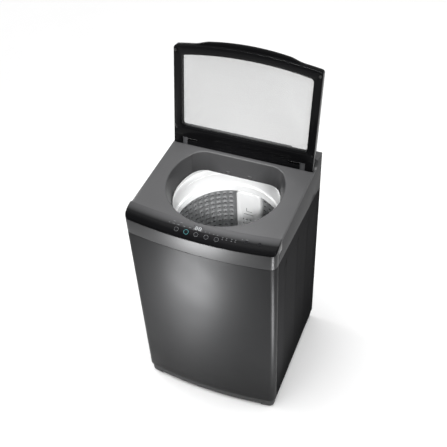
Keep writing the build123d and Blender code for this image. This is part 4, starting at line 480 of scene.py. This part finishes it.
# the basket's wall: rows of pressed dimples, each with a drain slot, and a plain band beside the filter
drumSkinSizes = {
    "columns": 57, "rows": 16, "wall": 0.0006,
    "plainHalfAngle": 16.4, "plainReach": 0.85, "plainTaper": 0.6,
    "dimpleHalfWidth": 0.0104, "dimpleHalfHeight": 0.0102, "dimpleDepth": 0.0026,
    "slotHalfWidth": 0.0072, "slotHalfHeight": 0.003, "slotDrop": 0.0024, "slotArch": 0.0014,
    "lowHem": 0.045, "highHem": 0.014, "clearance": 0.0004,
    "hemReach": 0.0004,  # how near a hem's line an open edge lies
    "slotBehind": 0.0003,  # faces farther than this behind the sheet are a slot's floor
    "weld": 0.0001,
    # each level: how far in from the pillow's foot to the slot's edge, and how high
    "levels": [(0.0, 0.0), (0.28, 0.45), (0.6, 0.9), (0.88, 1.0), (1.0, 0.92), (1.0, -0.2)],
}


# one tile of the wall, lying in the XZ plane with its pillow rising along +Y
def dimpleTile(name, width, height, sizes, plain):
    shape = bmesh.new()
    # round the tile's edge, four points to a side
    quarter = [(1, 0), (1, 0.5), (1, 1), (0.5, 1)]
    corners = []
    for step in range(4):
        corners += quarter
        quarter = [(-y, x) for x, y in quarter]
    rings = [[shape.verts.new((x * width / 2, 0, y * height / 2)) for x, y in corners]]
    for inward, rise in sizes["levels"]:
        ring = []
        reach = sizes["plainReach"] - sizes["plainTaper"] * inward
        narrowing = (sizes["dimpleHalfWidth"] - sizes["slotHalfWidth"]) * inward
        lowering = (sizes["dimpleHalfHeight"] - sizes["slotHalfHeight"]) * inward
        halfWidth, halfHeight = sizes["dimpleHalfWidth"] - narrowing, sizes["dimpleHalfHeight"] - lowering
        for x, y in corners:
            turn = math.atan2(y, x)
            across, upright = math.cos(turn), math.sin(turn)
            sag = (sizes["slotDrop"] + sizes["slotArch"] * across ** 2) * inward
            if plain:
                spot = (across * width / 2 * reach, 0, upright * height / 2 * reach)
            else:
                spot = (across * halfWidth, rise * sizes["dimpleDepth"], upright * halfHeight - sag)
            ring.append(shape.verts.new(spot))
        rings.append(ring)
    for outer, inner in zip(rings, rings[1:]):
        for index in range(len(corners)):
            following = (index + 1) % len(corners)
            shape.faces.new((outer[index], outer[following], inner[following], inner[index]))
    shape.faces.new(rings[-1])
    mesh = bpy.data.meshes.new(name)
    shape.to_mesh(mesh)
    shape.free()
    return meshObject(name, mesh)


def makeDrumTree():
    tree, start, end = newTree("drumSkinTree", [
        ("Columns", "NodeSocketInt", 49), ("Rows", "NodeSocketInt", 13), ("Radius", "NodeSocketFloat", 0.23),
        ("Low", "NodeSocketFloat", 0.3), ("High", "NodeSocketFloat", 0.7),
        ("Centre Y", "NodeSocketFloat", 0.0), ("Plain angle", "NodeSocketFloat", 0.3),
        ("Plain middle", "NodeSocketFloat", 0.0),
        ("Tile", "NodeSocketObject", None), ("Plain tile", "NodeSocketObject", None),
        ("Finish", "NodeSocketMaterial", None),
    ])
    ins = start.outputs
    girth = mathNode(tree, "MULTIPLY", ins["Radius"], 2 * math.pi)
    pitchX = mathNode(tree, "DIVIDE", girth, ins["Columns"])
    pitchZ = mathNode(tree, "DIVIDE", mathNode(tree, "SUBTRACT", ins["High"], ins["Low"]), ins["Rows"])
    grid = addNode(tree, "GeometryNodeMeshGrid")
    link(tree, ins["Columns"], grid.inputs["Vertices X"])
    link(tree, ins["Rows"], grid.inputs["Vertices Y"])
    link(tree, mathNode(tree, "SUBTRACT", girth, pitchX), grid.inputs["Size X"])
    steps = mathNode(tree, "SUBTRACT", ins["Rows"], 1.0)
    link(tree, mathNode(tree, "MULTIPLY", pitchZ, steps), grid.inputs["Size Y"])
    position = addNode(tree, "GeometryNodeInputPosition")
    apart = addNode(tree, "ShaderNodeSeparateXYZ")
    link(tree, position.outputs[0], apart.inputs[0])
    # stand the grid up
    stand = addNode(tree, "GeometryNodeSetPosition")
    upright = addNode(tree, "ShaderNodeCombineXYZ")
    link(tree, apart.outputs["X"], upright.inputs["X"])
    middleZ = mathNode(tree, "MULTIPLY", mathNode(tree, "ADD", ins["High"], ins["Low"]), 0.5)
    link(tree, mathNode(tree, "ADD", apart.outputs["Y"], middleZ), upright.inputs["Z"])
    link(tree, grid.outputs["Mesh"], stand.inputs["Geometry"])
    link(tree, upright.outputs[0], stand.inputs["Position"])
    # columns near the filter stay plain
    angle = mathNode(tree, "DIVIDE", apart.outputs["X"], ins["Radius"])
    away = mathNode(tree, "ABSOLUTE", mathNode(tree, "SUBTRACT", angle, ins["Plain middle"]))
    near = mathNode(tree, "LESS_THAN", away, ins["Plain angle"])
    joined = addNode(tree, "GeometryNodeJoinGeometry")
    for source, wanted in (("Tile", mathNode(tree, "SUBTRACT", 1.0, near)), ("Plain tile", near)):
        info = addNode(tree, "GeometryNodeObjectInfo")
        link(tree, ins[source], info.inputs["Object"])
        place = addNode(tree, "GeometryNodeInstanceOnPoints")
        link(tree, stand.outputs[0], place.inputs["Points"])
        link(tree, wanted, place.inputs["Selection"])
        link(tree, info.outputs["Geometry"], place.inputs["Instance"])
        link(tree, place.outputs[0], joined.inputs[0])
    real = addNode(tree, "GeometryNodeRealizeInstances")
    link(tree, joined.outputs[0], real.inputs[0])
    # roll the flat sheet round the drum's axis
    roll = addNode(tree, "GeometryNodeSetPosition")
    where = addNode(tree, "GeometryNodeInputPosition")
    parts = addNode(tree, "ShaderNodeSeparateXYZ")
    link(tree, where.outputs[0], parts.inputs[0])
    turn = mathNode(tree, "DIVIDE", parts.outputs["X"], ins["Radius"])
    reach = mathNode(tree, "SUBTRACT", ins["Radius"], parts.outputs["Y"])
    rolled = addNode(tree, "ShaderNodeCombineXYZ")
    link(tree, mathNode(tree, "MULTIPLY", reach, mathNode(tree, "SINE", turn)), rolled.inputs["X"])
    ahead = mathNode(tree, "MULTIPLY", reach, mathNode(tree, "COSINE", turn))
    link(tree, mathNode(tree, "ADD", ahead, ins["Centre Y"]), rolled.inputs["Y"])
    link(tree, parts.outputs["Z"], rolled.inputs["Z"])
    link(tree, real.outputs[0], roll.inputs["Geometry"])
    link(tree, rolled.outputs[0], roll.inputs["Position"])
    merge = addNode(tree, "GeometryNodeMergeByDistance", {"Distance": 0.0002})
    link(tree, roll.outputs[0], merge.inputs["Geometry"])
    dress = addNode(tree, "GeometryNodeSetMaterial")
    link(tree, merge.outputs[0], dress.inputs["Geometry"])
    link(tree, ins["Finish"], dress.inputs["Material"])
    link(tree, dress.outputs[0], end.inputs[0])
    return tree


def makeDrumSkin(sizes):
    low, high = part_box("spin_basket")
    radius = (high.x - low.x) / 2 - sizes["wall"] - sizes["clearance"]
    centreY = (high.y + low.y) / 2
    bandLow, bandHigh = low.z + sizes["lowHem"], high.z - sizes["highHem"]
    columns, rows = sizes["columns"], sizes["rows"]
    tileWidth = 2 * math.pi * radius / columns
    tileHeight = (bandHigh - bandLow) / rows
    tile = dimpleTile("dimpleTile", tileWidth, tileHeight, sizes, False)
    plainTile = dimpleTile("plainTile", tileWidth, tileHeight, sizes, True)
    skin = bakeTree("drumSkin", makeDrumTree(), {
        "Columns": columns, "Rows": rows, "Radius": radius, "Low": bandLow, "High": bandHigh,
        "Centre Y": centreY, "Plain angle": math.radians(sizes["plainHalfAngle"]),
        "Plain middle": math.radians(filterAngle), "Tile": tile, "Plain tile": plainTile,
        "Finish": finishes["drumSteel"],
    })
    bpy.data.objects.remove(tile)
    bpy.data.objects.remove(plainTile)
    shape = bmesh.new()
    shape.from_mesh(skin.data)
    # plain hems above and below the dimples
    near = sizes["hemReach"]
    for level, goal in ((bandHigh, high.z), (bandLow, low.z)):
        borders = [edge for edge in shape.edges if edge.is_boundary]
        rim = [edge for edge in borders if all(abs(vert.co.z - level) < near for vert in edge.verts)]
        made = bmesh.ops.extrude_edge_only(shape, edges=rim)["geom"]
        for vert in (item for item in made if isinstance(item, bmesh.types.BMVert)):
            vert.co.z = goal
    bmesh.ops.remove_doubles(shape, verts=shape.verts, dist=sizes["weld"])
    bmesh.ops.recalc_face_normals(shape, faces=shape.faces)
    # the sheet faces away from the drum's axis, so that its wall grows outward
    sample = max(shape.faces, key=lambda face: face.calc_area())
    middle = sample.calc_center_median()
    if sample.normal.dot(Vector((middle.x, middle.y - centreY, 0))) < 0:
        bmesh.ops.reverse_faces(shape, faces=shape.faces)
    # the slots' floors lie behind the sheet and close the drain holes; their dark finish is painted shade
    # for the dark inside of each hole
    skin.data.materials.append(finishes["slotShadow"])
    for face in shape.faces:
        reach = max(math.hypot(vert.co.x, vert.co.y - centreY) for vert in face.verts)
        if reach > radius + sizes["slotBehind"]:
            face.material_index = len(skin.data.materials) - 1
    shape.to_mesh(skin.data)
    shape.free()
    for face in skin.data.polygons:
        face.use_smooth = True
    wall = skin.modifiers.new("wall", "SOLIDIFY")
    wall.thickness = sizes["wall"]
    wall.offset = 1.0
    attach(skin, "basket")
    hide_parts("spin_basket")
    return skin


drumSkin = makeDrumSkin(drumSkinSizes)
print("drum skin made:", len(drumSkin.data.polygons), "faces")

# printed marks on the curved control panel: x runs along the bow, row is the distance behind its front line
panelShape = {"halfWidth": 0.284, "bow": 0.024, "front": -0.275, "depth": 0.062, "run": 0.059, "rise": 0.029}
keySpots = [(x, 0.021) for x in (-0.076, -0.002, 0.035, 0.072)]
panelMarks = {
    "rings": {"mark": ("ring", 0.0078, 0.00055), "finish": "paleMark", "spots": keySpots},
    "litRing": {"mark": ("ring", 0.0088, 0.0011), "finish": "tealMark", "spots": [(-0.039, 0.021)]},
    "longBars": {
        "mark": ("bar", 0.0085, 0.0012), "finish": "paleMark",
        "spots": [
            (-0.092, 0.036), (-0.074, 0.036), (-0.052, 0.036), (-0.03, 0.037), (-0.092, 0.045),
            (-0.066, 0.046), (0.174, 0.038),
        ],
    },
    "shortBars": {
        "mark": ("bar", 0.0042, 0.001), "finish": "paleMark",
        "spots": [(x, row + 0.0005) for x, row in keySpots] + [
            (-0.109, 0.036), (0.028, 0.036), (0.042, 0.036), (0.058, 0.034), (0.072, 0.034),
            (0.092, 0.030), (0.092, 0.024), (0.106, 0.031), (0.106, 0.025), (0.124, 0.031),
            (0.124, 0.025), (0.137, 0.031), (0.137, 0.025), (0.158, 0.037),
        ],
    },
    "litBar": {"mark": ("bar", 0.005, 0.0012), "finish": "tealMark", "spots": [(-0.039, 0.0215)]},
    "digitBars": {
        "mark": ("bar", 0.0062, 0.0015), "finish": "whiteMark", "surface": "display_lens",
        "spots": [(x, row) for x in (-0.0075, 0.0055) for row in (0.0355, 0.041, 0.0465)],
    },
    "digitPosts": {
        "mark": ("post", 0.0055, 0.0015), "finish": "whiteMark", "surface": "display_lens",
        "spots": [(x, row) for x in (-0.0112, -0.0038, 0.0018, 0.0092) for row in (0.0382, 0.0438)],
    },
    "powerDots": {
        "mark": ("ring", 0.0034, 0.0008), "finish": "paleMark", "spots": [(0.174, 0.030), (0.220, 0.030)],
    },
}


# where a mark lies seen from above, how it turns with the bow and how much the slope squeezes it
def panelSpot(x, row):
    shape = panelShape
    bowRadius = (shape["halfWidth"] ** 2 + shape["bow"] ** 2) / (2 * shape["bow"])
    crownRadius = (shape["run"] ** 2 + shape["rise"] ** 2) / (2 * shape["rise"])
    turn = math.asin(x / (bowRadius - row))
    tilt = math.asin((shape["depth"] - row) / crownRadius)
    y = shape["front"] + bowRadius - (bowRadius - row) * math.cos(turn)
    return x, y, turn, math.cos(tilt)


# a flat closed outline of small height: a ring, a bar with round ends, or a post, which is a bar on end
markSizes = {"height": 0.00012, "ringSides": 40, "barSides": 20}


def markOutlines(kind, reach, width):
    if kind == "ring":
        turns = [2 * math.pi * index / markSizes["ringSides"] for index in range(markSizes["ringSides"])]
        return [
            [(radius * math.cos(turn), radius * math.sin(turn)) for turn in turns]
            for radius in (reach, reach - width)
        ]
    outline = []
    for index in range(markSizes["barSides"]):
        turn = 2 * math.pi * (index + 0.5) / markSizes["barSides"]
        shift = math.copysign(reach / 2 - width / 2, math.cos(turn))
        along, across = shift + width / 2 * math.cos(turn), width / 2 * math.sin(turn)
        outline.append((-across, along) if kind == "post" else (along, across))
    return [outline]


def markMesh(name, kind, reach, width):
    shape = bmesh.new()
    loops = markOutlines(kind, reach, width)
    levels = []
    for z in (0.0, markSizes["height"]):
        levels.append([[shape.verts.new((x, y, z)) for x, y in loop] for loop in loops])
    sides = len(loops[0])
    for index in range(sides):
        following = (index + 1) % sides
        for loopIndex in range(len(loops)):
            low, high = levels[0][loopIndex], levels[1][loopIndex]
            side = (low[index], low[following], high[following], high[index])
            shape.faces.new(side if loopIndex == 0 else side[::-1])
        if kind == "ring":
            for level, flip in ((levels[1], False), (levels[0], True)):
                cap = (level[0][index], level[0][following], level[1][following], level[1][index])
                shape.faces.new(cap[::-1] if flip else cap)
    if kind != "ring":
        shape.faces.new(levels[1][0])
        shape.faces.new(levels[0][0][::-1])
    mesh = bpy.data.meshes.new(name)
    shape.to_mesh(mesh)
    shape.free()
    return meshObject(name, mesh)


def makeMarkTree():
    tree, start, end = newTree("layMarks", [
        ("Mark", "NodeSocketObject", None), ("Surface", "NodeSocketObject", None),
        ("Lift", "NodeSocketFloat", 0.00002), ("Finish", "NodeSocketMaterial", None),
    ])
    ins = start.outputs
    values = []
    for label in ("turn", "squeeze"):
        node = addNode(tree, "GeometryNodeInputNamedAttribute", {"Name": label}, data_type="FLOAT")
        values.append(node.outputs[0])
    aim = addNode(tree, "ShaderNodeCombineXYZ")
    link(tree, values[0], aim.inputs["Z"])
    scale = addNode(tree, "ShaderNodeCombineXYZ", {"X": 1.0, "Z": 1.0})
    link(tree, values[1], scale.inputs["Y"])
    mark = addNode(tree, "GeometryNodeObjectInfo")
    link(tree, ins["Mark"], mark.inputs["Object"])
    place = addNode(tree, "GeometryNodeInstanceOnPoints")
    link(tree, ins["Geometry"], place.inputs["Points"])
    link(tree, mark.outputs["Geometry"], place.inputs["Instance"])
    link(tree, aim.outputs[0], place.inputs["Rotation"])
    link(tree, scale.outputs[0], place.inputs["Scale"])
    real = addNode(tree, "GeometryNodeRealizeInstances")
    link(tree, place.outputs[0], real.inputs[0])
    # drop every vertex from above the object onto the surface below it
    position = addNode(tree, "GeometryNodeInputPosition")
    apart = addNode(tree, "ShaderNodeSeparateXYZ")
    link(tree, position.outputs[0], apart.inputs[0])
    above = addNode(tree, "ShaderNodeCombineXYZ", {"Z": 1.1})
    link(tree, apart.outputs["X"], above.inputs["X"])
    link(tree, apart.outputs["Y"], above.inputs["Y"])
    surface = addNode(tree, "GeometryNodeObjectInfo", transform_space="RELATIVE")
    link(tree, ins["Surface"], surface.inputs["Object"])
    drop = addNode(tree, "GeometryNodeRaycast")
    drop.inputs["Ray Direction"].default_value = (0, 0, -1)
    drop.inputs["Ray Length"].default_value = 1.0
    link(tree, surface.outputs["Geometry"], drop.inputs["Target Geometry"])
    link(tree, above.outputs[0], drop.inputs["Source Position"])
    rise = addNode(tree, "ShaderNodeCombineXYZ")
    link(tree, mathNode(tree, "ADD", apart.outputs["Z"], ins["Lift"]), rise.inputs["Z"])
    total = addNode(tree, "ShaderNodeVectorMath", operation="ADD")
    link(tree, drop.outputs["Hit Position"], total.inputs[0])
    link(tree, rise.outputs[0], total.inputs[1])
    lay = addNode(tree, "GeometryNodeSetPosition")
    link(tree, real.outputs[0], lay.inputs["Geometry"])
    link(tree, total.outputs[0], lay.inputs["Position"])
    dress = addNode(tree, "GeometryNodeSetMaterial")
    link(tree, lay.outputs[0], dress.inputs["Geometry"])
    link(tree, ins["Finish"], dress.inputs["Material"])
    link(tree, dress.outputs[0], end.inputs[0])
    return tree


markTree = makeMarkTree()


def layMarks(name, mark, spots, finish, surface):
    points = bpy.data.meshes.new(name + "Points")
    points.from_pydata([(x, y, 0) for x, y, turn, squeeze in spots], [], [])
    for label, index in (("turn", 2), ("squeeze", 3)):
        layer = points.attributes.new(label, "FLOAT", "POINT")
        for item, spot in zip(layer.data, spots):
            item.value = spot[index]
    stamp = markMesh(name + "Mark", *mark)
    values = {"Mark": stamp, "Surface": nodes[surface], "Finish": finishes[finish]}
    piece = bakeTree(name, markTree, values, points)
    bpy.data.objects.remove(stamp)
    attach(piece, "cabinet")
    return piece


for name, group in panelMarks.items():
    spots = [panelSpot(*spot) for spot in group["spots"]]
    surface = group.get("surface", "control_fascia")
    layMarks(name, group["mark"], spots, group["finish"], surface)

# the marks in the lint filter's face: kind, length, width, shift to the side and height
filterMarks = {
    "reach": 0.1998,
    "bars": [
        ("bar", 0.0245, 0.0022, -0.003, 0.625), ("post", 0.019, 0.0022, 0.0082, 0.634),
        ("bar", 0.042, 0.0026, 0.0, 0.6085),
    ],
}


def makeFilterMarks(sizes):
    centreY = sum(corner.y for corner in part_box("spin_basket")) / 2
    centre = Matrix.Translation((0, centreY, 0))
    aim = Matrix.Rotation(math.pi - math.radians(filterAngle), 4, "Z")
    stand = Matrix.Rotation(math.radians(90), 4, "X")
    shape = bmesh.new()
    for kind, reach, width, shift, rise in sizes["bars"]:
        stamp = markMesh("filterStamp", kind, reach, width)
        place = Matrix.Translation((shift, -sizes["reach"], rise))
        stamp.data.transform(centre @ aim @ place @ stand)
        shape.from_mesh(stamp.data)
        bpy.data.objects.remove(stamp)
    mesh = bpy.data.meshes.new("filterMarks")
    bmesh.ops.recalc_face_normals(shape, faces=shape.faces)
    shape.to_mesh(mesh)
    shape.free()
    piece = meshObject("filterMarks", mesh)
    # the dark finish is painted shade, standing in for the grooves of lines engraved in the filter's face
    mesh.materials.append(finishes["slotShadow"])
    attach(piece, "filter_cartridge")


makeFilterMarks(filterMarks)
print("panel marks laid:", sum(len(group["spots"]) for group in panelMarks.values()))

# floor and light: a high soft sun over a pale floor, and low panels that draw the upright highlights
stageLook = {
    "floorSize": 14.0, "floorTone": (0.95, 0.95, 0.95), "worldTone": (1.0, 1.0, 1.0), "worldStrength": 0.22,
    "sunStrength": 2.6, "sunAngle": 55.0, "sunFrom": (-0.12, -0.12, 1.0),
    "panels": {
        "frontPanel": {
            "place": (-0.36, -1.18, 0.14), "target": (-0.03, -0.27, 0.96), "width": 0.36, "height": 0.24,
            "power": 16.0, "spread": 100.0,
        },
        "lowPanel": {
            "place": (-0.21, -0.64, 0.06), "target": (-0.02, -0.27, 0.6), "width": 0.16, "height": 0.22,
            "power": 0.25, "spread": 110.0,
        },
        "cornerPanel": {
            "place": (0.74, -0.55, 0.10), "target": (0.28, -0.24, 0.7), "width": 0.22, "height": 0.26,
            "power": 4.5, "spread": 95.0,
        },
        "leftPanel": {
            "place": (-1.5, 0.0, 2.1), "target": (0.0, 0.0, 0.9), "width": 1.3, "height": 0.4,
            "power": 12.0, "spread": 140.0,
        },
        "rightPanel": {
            "place": (1.4, -0.1, 2.2), "target": (0.0, 0.0, 0.9), "width": 1.3, "height": 0.4,
            "power": 10.0, "spread": 140.0,
        },
        "sidePanel": {
            "place": (1.6, -0.25, 0.4), "target": (0.28, 0.0, 0.45), "width": 0.7, "height": 0.5,
            "power": 0.6, "spread": 100.0,
        },
    },
    # a narrow beam into the basket
    "spots": {
        "drumSpot": {
            "place": (0.72, -1.78, 2.45), "target": (-0.04, 0.10, 0.82), "power": 390.0, "angle": 10.8,
            "blend": 0.5, "radius": 0.12,
        },
    },
}


def makeFloor(look):
    size = look["floorSize"]
    corners = [(-size, -size, 0), (size, -size, 0), (size, size, 0), (-size, size, 0)]
    mesh = bpy.data.meshes.new("floor")
    mesh.from_pydata(corners, [], [(0, 1, 2, 3)])
    floor = meshObject("floor", mesh)
    material, tree, shader = newMaterial("paleFloor")
    grain = useGroup(tree, grainGroup, {"Grain size": 60.0, "Depth": 0.0})
    tone = look["floorTone"]
    drift = spread(tree, grain.outputs["Drift"], 0.0, 1.0)
    deeper = tuple(channel * 0.99 for channel in tone)
    link(tree, mixColours(tree, drift, tone, deeper), shader.inputs["Base Color"])
    shader.inputs["Roughness"].default_value = 0.85
    shader.inputs["Specular IOR Level"].default_value = 0.1
    mesh.materials.append(material)


def addLamp(name, kind, power):
    lamp = bpy.data.lights.new(name, kind)
    lamp.energy = power
    item = bpy.data.objects.new(name, lamp)
    bpy.context.scene.collection.objects.link(item)
    return lamp, item


def aimLamp(item, look):
    item.location = look["place"]
    item.rotation_euler = (Vector(look["target"]) - item.location).to_track_quat("-Z", "Y").to_euler()


def makeLights(look):
    world = bpy.data.worlds.new("studio")
    world.use_nodes = True
    glow = world.node_tree.nodes["Background"]
    glow.inputs["Color"].default_value = (*look["worldTone"], 1.0)
    glow.inputs["Strength"].default_value = look["worldStrength"]
    bpy.context.scene.world = world
    sun, item = addLamp("sunLight", "SUN", look["sunStrength"])
    sun.angle = math.radians(look["sunAngle"])
    item.rotation_euler = Vector(look["sunFrom"]).to_track_quat("Z", "Y").to_euler()
    for name, panel in look["panels"].items():
        lamp, item = addLamp(name, "AREA", panel["power"])
        lamp.shape = "RECTANGLE"
        lamp.size = panel["width"]
        lamp.size_y = panel["height"]
        lamp.spread = math.radians(panel["spread"])
        aimLamp(item, panel)
    for name, spot in look["spots"].items():
        lamp, item = addLamp(name, "SPOT", spot["power"])
        lamp.spot_size = math.radians(spot["angle"])
        lamp.spot_blend = spot["blend"]
        lamp.shadow_soft_size = spot["radius"]
        aimLamp(item, spot)


makeFloor(stageLook)
makeLights(stageLook)

# a long lens from the right, in front and above; right, up and back are the camera's own axes
cameraView = {
    "place": (0.8294, -1.8690, 2.7850), "lens": 61.43, "sensor": 36.0,
    "right": (0.92678, 0.373481, -0.039888), "up": (-0.237358, 0.66466, 0.708441),
    "back": (0.291101, -0.647101, 0.704642),
}
cameraData = bpy.data.cameras.new("camera")
cameraData.lens = cameraView["lens"]
cameraData.sensor_width = cameraView["sensor"]
camera = bpy.data.objects.new("camera", cameraData)
cameraAxes = Matrix((cameraView["right"], cameraView["up"], cameraView["back"])).transposed()
camera.matrix_world = Matrix.Translation(cameraView["place"]) @ cameraAxes.to_4x4()
bpy.context.scene.collection.objects.link(camera)
bpy.context.scene.camera = camera
bpy.context.scene.view_settings.view_transform = "Standard"
print("stage, lights and camera set")
